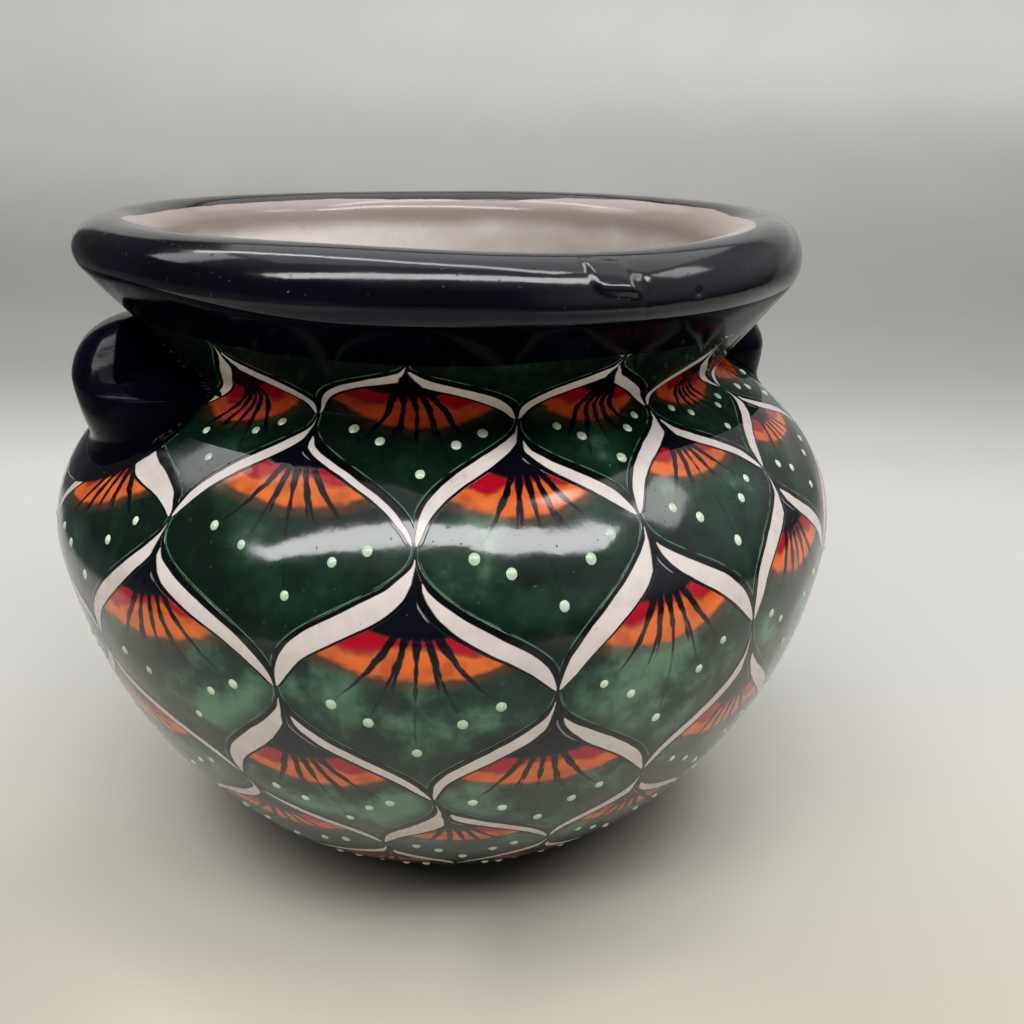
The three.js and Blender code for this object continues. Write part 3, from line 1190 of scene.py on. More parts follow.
@dataclass(frozen=True)
class Glaze:
    """A glossy fired finish: roughness range, waves in millimetres, and how strongly it mirrors."""

    name: str
    gloss: float = 0.09
    dull: float = 0.15
    waves: float = 2.0
    ripples: float = 0.035
    mirror: float = 0.5

    def start(self, groups: dict[str, bpy.types.NodeTree]) -> tuple:
        """Material with a principled shader, the kiln group and a bump.

        Args:
            groups: Shared node groups by name.

        Returns:
            Material, its canvas, the shader node, the object coordinates and the kiln node.
        """
        material = bpy.data.materials.new(self.name)
        material.use_nodes = True
        canvas = Canvas(material.node_tree)
        shader = material.node_tree.nodes["Principled BSDF"]
        shader.inputs["Specular IOR Level"].default_value = self.mirror
        place = material.node_tree.nodes.new("ShaderNodeTexCoord").outputs["Object"]
        kiln = self.add(canvas, groups["kiln_surface"], {"Place": place})
        kiln.inputs["Waves"].default_value = self.waves
        kiln.inputs["Ripples"].default_value = self.ripples
        return material, canvas, shader, place, kiln

    @staticmethod
    def add(canvas: Canvas, group: bpy.types.NodeTree, links: dict) -> bpy.types.Node:
        """Places a group in a tree.

        Args:
            canvas: Canvas of the tree.
            group: The group.
            links: Sockets for its inputs, by name.

        Returns:
            The group's node.
        """
        node = canvas.tree.nodes.new("ShaderNodeGroup")
        node.node_tree = group
        for label, socket in links.items():
            canvas.tree.links.new(socket, node.inputs[label])
        return node

    @staticmethod
    def bump(canvas: Canvas, shader: bpy.types.Node, height: Shade) -> None:
        """Bump whose height is in millimetres.

        Args:
            canvas: Canvas of the material.
            shader: Principled shader whose normal it bends.
            height: The height.
        """
        node = canvas.tree.nodes.new("ShaderNodeBump")
        node.inputs["Distance"].default_value = METRES
        node.inputs["Strength"].default_value = 1.0
        canvas.tree.links.new(height.socket, node.inputs["Height"])
        canvas.tree.links.new(node.outputs[0], shader.inputs["Normal"])

    def roughness(self, canvas: Canvas, shader: bpy.types.Node, kiln: bpy.types.Node,
                  extra: Shade | None = None) -> None:
        """Roughness between gloss and dull by the kiln's patches, plus what a paint adds.

        Args:
            canvas: Canvas of the material.
            shader: Principled shader.
            kiln: Node of the kiln's group.
            extra: What the paint adds, if anything.
        """
        rough = canvas.shade(kiln.outputs["Dull"]) * (self.dull - self.gloss) + self.gloss
        if extra is not None:
            rough = rough + extra
        canvas.tree.links.new(rough.socket, shader.inputs["Roughness"])


def uv_socket(canvas: Canvas, name: str) -> bpy.types.NodeSocket:
    """UV Map node for one of the piece's own maps.

    Args:
        canvas: Canvas of the material.
        name: Name of the map.

    Returns:
        The node's output.
    """
    node = canvas.tree.nodes.new("ShaderNodeUVMap")
    node.uv_map = name
    return node.outputs[0]


NAVY = (3, 3, 9)
NAVY_THIN = (8, 8, 23)


def navy_colour(canvas: Canvas, place: bpy.types.NodeSocket) -> bpy.types.NodeSocket:
    """Near-black navy with thinner, bluer patches."""
    return canvas.mix(canvas.noise(place, 45.0, 3.0, 6.0).ramp(0.45, 0.75), NAVY, NAVY_THIN)


@dataclass(frozen=True)
class PaintedGlaze(Glaze):
    """Outside of the pot: feathers, and the navy band and leaves over them."""

    name: str = "painted_glaze"
    mirror: float = 0.62

    def build(self, groups: dict[str, bpy.types.NodeTree]) -> bpy.types.Material:
        """Material that reads the feather, size, stroke and cover maps of its piece.

        Args:
            groups: Shared node groups by name.

        Returns:
            The material.
        """
        material, canvas, shader, place, kiln = self.start(groups)
        feather = self.add(canvas, groups["feather_paint"], {
            "Feather": uv_socket(canvas, "feather_map"),
            "Size": uv_socket(canvas, "size_map"),
            "Stroke": uv_socket(canvas, "stroke_map"),
            "Place": place,
        })
        cover, _ = canvas.split(uv_socket(canvas, "cover_map"))
        ragged = (canvas.noise(place, 160.0, 2.0, 12.0) - 0.5) * 1.6
        navy = (cover + ragged).ramp(-0.25, 0.25)
        colour = canvas.mix(navy, feather.outputs["Color"], navy_colour(canvas, place))
        canvas.tree.links.new(colour, shader.inputs["Base Color"])
        bare = 1 - navy
        matt = canvas.shade(feather.outputs["Matt"]) * bare
        self.roughness(canvas, shader, kiln, matt * 0.16)
        relief = canvas.shade(feather.outputs["Relief"]) * bare + navy * 0.18
        self.bump(canvas, shader, relief + canvas.shade(kiln.outputs["Height"]))
        return material


@dataclass(frozen=True)
class InsideGlaze(Glaze):
    """Thin milky glaze of the inside, washed out below the rim, with the navy band over it."""

    name: str = "inside_glaze"
    waves: float = 0.8
    white: tuple = (218, 213, 208)
    buff: tuple = (205, 196, 189)
    washed: tuple = (150, 137, 130)
    specks: tuple = (128, 96, 80)
    washed_arcs: tuple[float, float] = (305.0, 314.0)

    def build(self, groups: dict[str, bpy.types.NodeTree]) -> bpy.types.Material:
        """Material that reads the cover map of its piece.

        Args:
            groups: Shared node groups by name.

        Returns:
            The material.
        """
        material, canvas, shader, place, kiln = self.start(groups)
        cover, arc = canvas.split(uv_socket(canvas, "cover_map"))
        ragged = (canvas.noise(place, 90.0, 2.0, 13.0) - 0.5) * 1.2
        navy = (cover + ragged).ramp(-0.3, 0.3)
        milky = canvas.noise(place, 32.0, 4.0, 21.0, 0.6).ramp(0.35, 0.7)
        white = canvas.mix(milky, self.buff, self.white)
        drawn = (canvas.noise(place, 40.0, 3.0, 23.0) - 0.5) * 7
        white = canvas.mix((arc + drawn).ramp(*self.washed_arcs), self.washed, white)
        specks = canvas.noise(place, 700.0, 1.0, 22.0).ramp(0.70, 0.76)
        white = canvas.mix(specks * 0.5, white, self.specks)
        colour = canvas.mix(navy, white, navy_colour(canvas, place))
        canvas.tree.links.new(colour, shader.inputs["Base Color"])
        self.roughness(canvas, shader, kiln, (1 - navy) * 0.06)
        self.bump(canvas, shader, navy * 0.18 + canvas.shade(kiln.outputs["Height"]))
        return material


@dataclass(frozen=True)
class NavyGlaze(Glaze):
    """Thick near-black navy glaze of the handles."""

    name: str = "navy_glaze"
    gloss: float = 0.08
    waves: float = 1.6
    mirror: float = 0.03

    def build(self, groups: dict[str, bpy.types.NodeTree]) -> bpy.types.Material:
        """Material of one colour with bluer patches.

        Args:
            groups: Shared node groups by name.

        Returns:
            The material.
        """
        material, canvas, shader, place, kiln = self.start(groups)
        canvas.tree.links.new(navy_colour(canvas, place), shader.inputs["Base Color"])
        self.roughness(canvas, shader, kiln)
        self.bump(canvas, shader, canvas.shade(kiln.outputs["Height"]))
        return material


@dataclass(frozen=True)
class DotGlaze(Glaze):
    """Pale mint glaze of the raised dots."""

    name: str = "dot_glaze"
    gloss: float = 0.12
    dull: float = 0.22
    waves: float = 0.0
    mint: tuple = (172, 196, 168)
    pale_mint: tuple = (204, 216, 192)
    mottled: tuple = (144, 170, 144)

    def build(self, groups: dict[str, bpy.types.NodeTree]) -> bpy.types.Material:
        """Material that varies from dot to dot and is mottled within each.

        Args:
            groups: Shared node groups by name.

        Returns:
            The material.
        """
        material, canvas, shader, place, kiln = self.start(groups)
        between = canvas.noise(place, 30.0, 0.0, 31.0).ramp(0.3, 0.7)
        within = canvas.noise(place, 900.0, 1.0, 32.0).ramp(0.4, 0.7)
        colour = canvas.mix(between, self.mint, self.pale_mint)
        colour = canvas.mix(within * 0.35, colour, self.mottled)
        canvas.tree.links.new(colour, shader.inputs["Base Color"])
        self.roughness(canvas, shader, kiln)
        self.bump(canvas, shader, canvas.shade(kiln.outputs["Height"]))
        return material


@dataclass(frozen=True)
class BareClay(Glaze):
    """Unglazed buff earthenware of the foot's underside: matt, grainy, with scuffs and pale dust."""

    name: str = "bare_clay"
    gloss: float = 0.72
    dull: float = 0.92
    waves: float = 0.3
    ripples: float = 0.12
    clay: tuple = (150, 96, 66)
    light_clay: tuple = (186, 130, 96)
    scuffed: tuple = (92, 66, 50)
    dust: tuple = (204, 184, 164)

    def build(self, groups: dict[str, bpy.types.NodeTree]) -> bpy.types.Material:
        """Material with grain, dark scuffs and pale dust.

        Args:
            groups: Shared node groups by name.

        Returns:
            The material.
        """
        material, canvas, shader, place, kiln = self.start(groups)
        grain = canvas.noise(place, 420.0, 4.0, 41.0, 0.65)
        scuff = canvas.noise(place, 55.0, 4.0, 42.0, 0.6)
        colour = canvas.mix(grain.ramp(0.35, 0.65), self.clay, self.light_clay)
        colour = canvas.mix(scuff.ramp(0.58, 0.75) * 0.55, colour, self.scuffed)
        colour = canvas.mix((1 - scuff.ramp(0.28, 0.42)) * 0.45, colour, self.dust)
        canvas.tree.links.new(colour, shader.inputs["Base Color"])
        self.roughness(canvas, shader, kiln)
        self.bump(canvas, shader, canvas.shade(kiln.outputs["Height"]) + grain * 0.12)
        return material


# Meshes


@dataclass
class RingMesh:
    """Closed ring: a loop of rows of points, each row once round the pot.

    Vertex (row, column) is row · columns + column. The quad between two rows runs round the pot
    first and then along the rows, so that it faces outwards.
    """

    name: str
    points: Array  # rows, columns, 3, in millimetres
    normals: Array  # rows, columns, 3
    maps: dict[str, Array]  # rows, columns + 1, 2
    flat: Array  # rows, whether the quads after the row are a flat joint
    dress: Array  # rows, material number of the quads after the row

    def build(self, materials: list[bpy.types.Material]) -> bpy.types.Object:
        """Object with the ring's mesh, its maps and its exact normals.

        Args:
            materials: Materials by number.

        Returns:
            The new object, at the origin.
        """
        rows, columns = self.points.shape[:2]
        row, column = np.meshgrid(np.arange(rows), np.arange(columns), indexing="ij")
        below, after = (row + 1) % rows, (column + 1) % columns
        corner_rows = np.stack([row, row, below, below], -1).reshape(-1, 4)
        corner_columns = np.stack([column, after, after, column], -1).reshape(-1, 4)
        faces = corner_rows * columns + corner_columns
        flat_points = self.points.reshape(-1, 3)
        corner = self.normals.reshape(-1, 3)[faces]
        face_points = flat_points[faces]
        cross = np.cross(face_points[:, 2] - face_points[:, 0], face_points[:, 3] - face_points[:, 1])
        cross /= np.linalg.norm(cross, axis=-1, keepdims=True) + 1e-12
        is_flat = np.repeat(self.flat, columns)
        corner[is_flat] = cross[is_flat][:, None, :]
        map_columns = np.stack([column, column + 1, column + 1, column], -1).reshape(-1, 4)
        corner_maps = {name: grid[corner_rows, map_columns] for name, grid in self.maps.items()}
        return make_object(
            self.name, flat_points, faces, corner, corner_maps, np.repeat(self.dress, columns), materials
        )


def make_object(name: str, points: Array, faces: Array, corner_normals: Array,
                corner_maps: dict[str, Array], dress: Array,
                materials: list[bpy.types.Material]) -> bpy.types.Object:
    """Mesh object from arrays, scaled from millimetres to metres.

    Args:
        name: Object's name.
        points: Vertices, in millimetres.
        faces: Quads, as vertex numbers.
        corner_normals: Normal of each corner of each quad.
        corner_maps: UV of each corner of each quad, by map name.
        dress: Material number of each quad.
        materials: Materials by number.

    Returns:
        Object linked to the scene, at the origin.
    """
    mesh = bpy.data.meshes.new(name)
    mesh.vertices.add(len(points))
    mesh.vertices.foreach_set("co", (points * METRES).astype(np.float32).ravel())
    mesh.loops.add(faces.size)
    mesh.loops.foreach_set("vertex_index", faces.astype(np.int32).ravel())
    mesh.polygons.add(len(faces))
    mesh.polygons.foreach_set("loop_start", np.arange(0, faces.size, 4, dtype=np.int32))
    mesh.polygons.foreach_set("material_index", dress.astype(np.int32))
    mesh.update(calc_edges=True)
    mesh.shade_smooth()
    for label, corners in corner_maps.items():
        layer = mesh.uv_layers.new(name=label)
        layer.data.foreach_set("uv", corners.astype(np.float32).ravel())
    mesh.normals_split_custom_set(corner_normals.reshape(-1, 3).astype(np.float32))
    for material in materials:
        mesh.materials.append(material)
    made = bpy.data.objects.new(name, mesh)
    bpy.context.scene.collection.objects.link(made)
    return made


@dataclass(frozen=True)
class CoilJoint:
    """Where the rim's coil overlaps its own start: a folded patch, a crease beside it and a pit."""

    azimuth: float = -86.4
    arc: float = 279.4
    patch_length: float = 11.0
    patch_half_width: float = 3.4
    patch_height: float = 0.4
    patch_tilt: float = -0.12
    flattened_radius: float = 12.0
    step_width: float = 2.4
    end_slant: float = 0.25
    edge_slant: float = 0.12
    crease_depth: float = 0.2
    crease_along: float = 1.8
    crease_below: float = 4.0
    crease_width: float = 1.1
    crease_length: float = 5.0
    pit_azimuth: float = -78.0
    pit_arc: float = 275.0
    pit_depth: float = 0.5
    pit_length: float = 0.9
    pit_width: float = 0.8

    def rise(self, azimuth: Array, arc: Array, radius: float) -> Array:
        """How far the joint lifts the roll, in millimetres.

        The patch is a product of smooth steps with one steep side. Its height grows downwards
        and with the square of the distance from its middle, which undoes the roll's curve and
        leaves a flat face. The crease beside it and the pit are narrow Gaussians.

        Args:
            azimuth: Azimuths in degrees.
            arc: Arcs in millimetres.
            radius: Distance of the roll's middle from the axis.

        Returns:
            Rise at each place.
        """
        along = np.radians(azimuth - self.azimuth) * radius
        across = arc - self.arc
        slant = along + self.end_slant * across
        edge = np.abs(across + self.edge_slant * along)
        patch = smooth_step(slant, -self.patch_length, -self.patch_length + self.step_width)
        patch = patch * (1 - smooth_step(slant, -self.step_width, 0.8))
        half_step = self.step_width / 2
        near, far = self.patch_half_width - half_step, self.patch_half_width + half_step
        patch = patch * (1 - smooth_step(edge, near, far))
        beside = (along - self.crease_along) / self.crease_width
        below = (across + self.crease_below) / self.crease_length
        crease = np.exp(-(beside**2) - below**2)
        pit_along = np.radians(azimuth - self.pit_azimuth) * radius
        pit_across = arc - self.pit_arc
        pit = np.exp(-((pit_along / self.pit_length) ** 2 + (pit_across / self.pit_width) ** 2))
        flattened = across * across / (2 * self.flattened_radius)
        pressed = self.patch_height + self.patch_tilt * across + flattened
        return pressed * patch - self.crease_depth * crease - self.pit_depth * pit


MAPS = ("feather_map", "size_map", "stroke_map", "cover_map")


@dataclass
class Body:
    """What the turned pieces share: outline, lattice, brush strokes and cover."""

    outline: Outline
    lattice: FeatherLattice
    strokes: BrushStrokes
    cover: NavyCover
    columns: int = 360
    roll_columns: int = 1080

    def rows(self, first: int, last: int, columns: int, joint: CoilJoint | None = None) -> dict:
        """Points, normals and maps of a stretch of the outline, once round the pot.

        Args:
            first: First point of the outline.
            last: Last point of the outline.
            columns: Quads round the pot.
            joint: Coil joint that lifts the surface, if the stretch has one.

        Returns:
            Arrays by name, as RingMesh takes them.
        """
        around = np.linspace(-180, 180, columns + 1)
        arc, azimuth = np.meshgrid(self.outline.arc[first:last + 1], around, indexing="ij")
        points = self.outline.surface(azimuth, arc)
        normals = self.outline.normal(azimuth, arc)
        if joint is not None:
            points, normals = self.lifted(azimuth, arc, joint)
        feather = self.lattice.at(azimuth, arc)
        step = 0.5
        least = 1e-3
        radius = self.outline.ring_of(azimuth, arc)[..., 0]
        at = self.lattice.at
        faster = at(azimuth + step, arc)[..., 0] - at(azimuth - step, arc)[..., 0]
        lower = at(azimuth, arc - step)[..., 1] - at(azimuth, arc + step)[..., 1]
        size = np.stack([
            0.5 * np.radians(2 * step) * radius / np.maximum(faster, least),
            2 * step / np.maximum(lower, least),
        ], -1)
        cover = self.cover.depth(azimuth, arc)
        return {
            "points": points[:, :-1],
            "normals": normals[:, :-1],
            "feather_map": feather,
            "size_map": size,
            "stroke_map": self.strokes.at(feather, self.lattice.columns),
            "cover_map": np.stack([cover, arc], -1),
        }

    def lifted(self, azimuth: Array, arc: Array, joint: CoilJoint) -> tuple[Array, Array]:
        """Raises the surface along its normals by the coil joint.

        The new normal is the cross product of central differences of the raised surface.

        Args:
            azimuth: Azimuths in degrees.
            arc: Arcs in millimetres.
            joint: The coil joint.

        Returns:
            Points and unit normals of the raised surface.
        """
        radius = self.outline.shape.roll_radius

        def raised(az: Array, ar: Array) -> Array:
            """Surface point plus its normal times the joint's rise."""
            rise = joint.rise(az, ar, radius)[..., None]
            return self.outline.surface(az, ar) + self.outline.normal(az, ar) * rise

        step = 0.15
        around = raised(azimuth + step, arc) - raised(azimuth - step, arc)
        along = raised(azimuth, arc + step) - raised(azimuth, arc - step)
        cross = np.cross(around, along)
        return raised(azimuth, arc), cross / np.linalg.norm(cross, axis=-1, keepdims=True)

    def wall_piece(self, name: str, outer: str, inner: str | None, columns: int,
                   joint: CoilJoint | None = None) -> RingMesh:
        """Closed ring of wall: an outer stretch, and an inner one or a flat underside.

        Args:
            name: Name of the piece.
            outer: Stretch of the outline that is its outside.
            inner: Stretch that is its inside, if it has one.
            columns: Quads round the pot.
            joint: Coil joint that lifts it, if it has one.

        Returns:
            Mesh of the ring, not yet built.
        """
        stretches = [self.rows(*self.outline.spans[span], columns, joint)
                     for span in (outer, inner) if span is not None]
        joined = {key: np.concatenate([part[key] for part in stretches]) for key in stretches[0]}
        counts = [len(part["points"]) for part in stretches]
        flat = np.zeros(sum(counts), bool)
        flat[-1] = True
        dress = np.zeros(sum(counts), int)
        if inner is not None:
            flat[counts[0] - 1] = True
            dress[counts[0]:] = 1
        maps = {key: joined[key] for key in MAPS}
        return RingMesh(name, joined["points"], joined["normals"], maps, flat, dress)

    def floor_piece(self, name: str) -> RingMesh:
        """Floor slab: the outline's foot, then the flat top, the drain hole and the underside.

        The section is a polygon; each of its flat stretches is turned round the axis as it is.

        Args:
            name: Name of the piece.

        Returns:
            Mesh of the slab, not yet built.
        """
        shape = self.outline.shape
        foot = self.rows(*self.outline.spans["foot"], self.columns)
        edge = self.outline.points[self.outline.spans["foot"][1]]
        hole, chamfer, top = shape.drain_radius, shape.drain_chamfer, shape.floor_thickness
        middle = 40.0
        far_from_navy = -50.0
        corners = np.array([
            (edge[0] - 0.01, top), (middle, top), (hole + chamfer, top), (hole, top - chamfer),
            (hole, chamfer), (hole + chamfer, 0.0), (middle, 0.0),
        ])
        turn = np.radians(np.linspace(-180, 180, self.columns + 1)[:-1])
        ring = np.stack(np.broadcast_arrays(
            corners[:, :1] * np.cos(turn), corners[:, :1] * np.sin(turn), corners[:, 1:]
        ), -1)
        rows = len(foot["points"])
        total = rows + len(corners)
        maps = {
            key: np.concatenate([foot[key], np.zeros((len(corners), self.columns + 1, 2))])
            for key in MAPS
        }
        maps["cover_map"][rows:, :, 0] = far_from_navy
        flat = np.r_[np.zeros(rows - 1, bool), np.ones(len(corners) + 1, bool)]
        dress = np.zeros(total, int)
        dress[rows - 1:rows + 2] = 1
        dress[rows + 2:] = 2
        return RingMesh(
            name, np.concatenate([foot["points"], ring]),
            np.concatenate([foot["normals"], np.zeros_like(ring) + (0, 0, 1)]), maps, flat, dress,
        )


@dataclass(frozen=True)
class EarHandle:
    """Solid ear pressed onto the throat: half a flat-faced cushion with a soft fillet round its foot.

    Its foot reaches further down at the front of the pot than at the back, and its top is lower
    there.
    """

    name: str
    node: str
    azimuth: float
    front: int
    reach: float = 33.5
    lift: float = -1.5
    upper_height: float = 18.5
    upper_front: float = 4.5
    lower_height: float = 23.0
    front_height: float = 46.0
    half_angle: float = 24.6
    side_power: float = 3.2
    up_power: float = 1.76
    round_power: float = 2.45
    lowest: float = 4.0
    upper_blend: float = 2.8
    lower_blend: float = 6.5
    margin: float = 1.16
    proud: float = 0.3
    sunk: float = 2.2
    back_depth: float = 3.0
    rings: int = 64
    steps: int = 288

    def half_height(self, angle: Array, above: Array) -> Array:
        """Half height of the ear, which passes smoothly from the back's to the front's.

        Args:
            angle: Angle off the ear's middle, in radians.
            above: Whether the part over its widest line is meant.

        Returns:
            Half height in millimetres.
        """
        forward = self.front * angle / math.radians(self.half_angle)
        lower_share, upper_share = smooth_step(forward, -0.4, 0.6), smooth_step(forward, -0.1, 0.6)
        lower = self.lower_height + (self.front_height - self.lower_height) * lower_share
        upper = self.upper_height + (self.upper_front - self.upper_height) * upper_share
        return np.where(above, upper, lower)

    def radius(self, shape: PotShape, angle: Array, height: Array, share: Array) -> Array:
        """Distance of the ear's face from the axis.

        Throat radius plus reach · (1 - |angle|^3.2 - |height|^1.76)^(1 / 2.45), joined to the wall
        by a rounded maximum, wider below than above, and sunk under the wall's face past its fillet.

        Args:
            shape: The pot's shape.
            angle: Angles off the ear's middle, in radians.
            height: Heights in millimetres.
            share: 0 in the middle of the ear, 1 at its foot.

        Returns:
            Distance in millimetres.
        """
        side = np.abs(angle / math.radians(self.half_angle)) ** self.side_power
        over = height - shape.throat_height - self.lift
        up = np.abs(over / self.half_height(angle, over > 0)) ** self.up_power
        cushion = shape.throat_radius + self.reach * np.maximum(1 - side - up, 0) ** (1 / self.round_power)
        low = np.clip((0.6 - over / self.half_height(angle, over > 0)) / 1.2, 0, 1)
        blend = self.upper_blend + (self.lower_blend - self.upper_blend) * low
        wall = shape.wall_radius(height, False)
        outside = smooth_step(share, 1.04, self.margin)
        past = np.maximum(outside, smooth_step((wall - cushion) / blend, 0.6, 1.3))
        return smooth_max(cushion, wall + self.proud - self.sunk * past, blend)

    def face(self, shape: PotShape, share: Array, around: Array, sunk: float) -> Array:
        """Points of the ear at a share of its size and an angle round its middle.

        Args:
            shape: The pot's shape.
            share: 0 in the middle, 1 at the ear's foot.
            around: Angle round the ear's middle.
            sunk: How far under the wall's face the back of the ear lies, or 0 for its front.

        Returns:
            Bent points, in millimetres.
        """
        angle = share * math.radians(self.half_angle) * np.cos(around)
        up = share * np.sin(around)
        height = shape.throat_height + self.lift + up * self.half_height(angle, up > 0)
        height = np.maximum(height, shape.belly_height + self.lowest)
        turn = angle + math.radians(self.azimuth)
        out = shape.wall_radius(height, False) - sunk if sunk else self.radius(shape, angle, height, share)
        return shape.bend(np.stack([out * np.cos(turn), out * np.sin(turn), height], -1))

    def build(self, shape: PotShape, materials: list[bpy.types.Material]) -> bpy.types.Object:
        """The ear as a closed sheet of rings, front then back, with the poles as tiny rings.

        Args:
            shape: The pot's shape.
            materials: The one material of the ear.

        Returns:
            The ear, at the origin.
        """
        ring = np.sin(np.linspace(0.001, 1, self.rings) * math.pi / 2) * self.margin
        turns = np.linspace(0, 2 * math.pi, self.steps + 1)[:-1]
        front, around = np.meshgrid(ring, turns, indexing="ij")
        points = self.face(shape, front, around, 0)
        step = 0.002
        inner = np.maximum(front - step, 0)
        out = self.face(shape, front + step, around, 0) - self.face(shape, inner, around, 0)
        turn = self.face(shape, front, around + step, 0) - self.face(shape, front, around - step, 0)
        normals = np.cross(out, turn)
        normals /= np.linalg.norm(normals, axis=-1, keepdims=True) + 1e-12
        back = self.face(shape, front[::-1][::3], around[::3], self.back_depth)
        both = np.concatenate([points, back])
        both_normals = np.concatenate([normals, np.zeros_like(back) + (0, 0, 1)])
        flat = np.r_[np.zeros(self.rings - 1, bool), np.ones(len(back) + 1, bool)]
        sheet = RingMesh(
            self.name, both[::-1], both_normals[::-1],
            {"cover_map": np.zeros((len(both), self.steps + 1, 2))},
            np.roll(flat[::-1], -1), np.zeros(len(both), int),
        )
        return sheet.build(materials)


@dataclass(frozen=True)
class RaisedDots:
    """Drops of pale glaze at the ends of the rays, five to a feather."""

    fan: DotFan = DotFan()
    first_row: int = 1
    last_row: int = 8
    radius: float = 1.45
    height: float = 0.5
    sunk: float = 0.12
    clear_of_navy: float = 2.5
    lowest_arc: float = 4.0
    highest_arc: float = 262.0
    rings: int = 3
    steps: int = 12

    def places(self, lattice: FeatherLattice, cover: NavyCover) -> tuple[Array, Array, Array]:
        """Finds every dot that the navy doesn't cover.

        Args:
            lattice: The painted lattice.
            cover: Where the navy covers the pot.

        Returns:
            Azimuths, arcs and sizes.
        """
        spots = []
        for row in range(self.first_row, self.last_row + 1):
            shift = 0.0 if row % 2 else 0.5
            stretch = 1.06 if row == 1 else 1.0
            for column in range(lattice.columns):
                spots += [
                    (column + shift, row, side * aside, down, stretch)
                    for aside, down, _ in self.fan.ends()
                    for side in ((1,) if aside == 0 else (-1, 1))
                ]
        column, row, aside, down, stretch = np.array(spots).T
        column = (column + 6) % lattice.columns - 6
        lean = np.sin(column * 7.13 + row * 4.37 + 2.6)
        aside = aside + lean * 0.05 * down * down
        jitter = np.sin(np.arange(len(aside)) * 12.9898) * 0.5
        azimuth, arc = lattice.place(column + aside / 2, row + down * stretch + 0.05 * jitter)
        seen = cover.depth(azimuth, arc) < -self.clear_of_navy
        seen &= (arc > self.lowest_arc) & (arc < self.highest_arc)
        return azimuth[seen], arc[seen], (1 + 0.25 * jitter)[seen]

    def build(self, body: "Body", materials: list[bpy.types.Material]) -> bpy.types.Object:
        """All dots as one mesh: each a dome h = height · (1 - r²) on the surface's own normal.

        Args:
            body: What the turned pieces share.
            materials: The one material of the dots.

        Returns:
            The dots, at the origin.
        """
        azimuth, arc, size = self.places(body.lattice, body.cover)
        centre = body.outline.surface(azimuth, arc)
        up = body.outline.normal(azimuth, arc)
        side = np.cross(up, (0.0, 0.0, 1.0))
        side /= np.linalg.norm(side, axis=-1, keepdims=True)
        along = np.cross(up, side)
        share = np.linspace(0.02, 1.0, self.rings + 1)
        turn = np.linspace(0, 2 * math.pi, self.steps + 1)[:-1]
        r, a = np.meshgrid(share, turn, indexing="ij")
        rise = self.height * (1 - r**2) - self.sunk * (r > 0.99)
        local = np.stack([r * np.cos(a) * self.radius, r * np.sin(a) * self.radius * 1.12, rise], -1)
        frames = np.stack([side, along, up], 1)
        placed = np.einsum("rsk,dkj->drsj", local, frames)
        points = centre[:, None, None] + size[:, None, None, None] * placed
        tilt = 2 * self.height * r / self.radius
        bent = np.stack([np.cos(a) * tilt, np.sin(a) * tilt, np.ones_like(r)], -1)
        bent /= np.linalg.norm(bent, axis=-1, keepdims=True)
        normals = np.einsum("rsk,dkj->drsj", bent, frames)
        ring, step = np.meshgrid(np.arange(self.rings), np.arange(self.steps), indexing="ij")
        after = (step + 1) % self.steps
        quads = np.stack([
            ring * self.steps + step, (ring + 1) * self.steps + step,
            (ring + 1) * self.steps + after, ring * self.steps + after,
        ], -1).reshape(-1, 4)
        cap = np.stack([np.zeros(self.steps // 2 - 1, int), *(
            2 * np.arange(self.steps // 2 - 1) + k for k in (1, 2, 3)
        )], -1)
        cap[-1, -1] = self.steps - 1
        quads = np.concatenate([quads, cap])
        per_dot = (self.rings + 1) * self.steps
        faces = (quads + per_dot * np.arange(len(centre))[:, None, None]).reshape(-1, 4)
        return make_object(
            "raised_dots", points.reshape(-1, 3), faces, normals.reshape(-1, 3)[faces], {},
            np.zeros(len(faces), int), materials,
        )


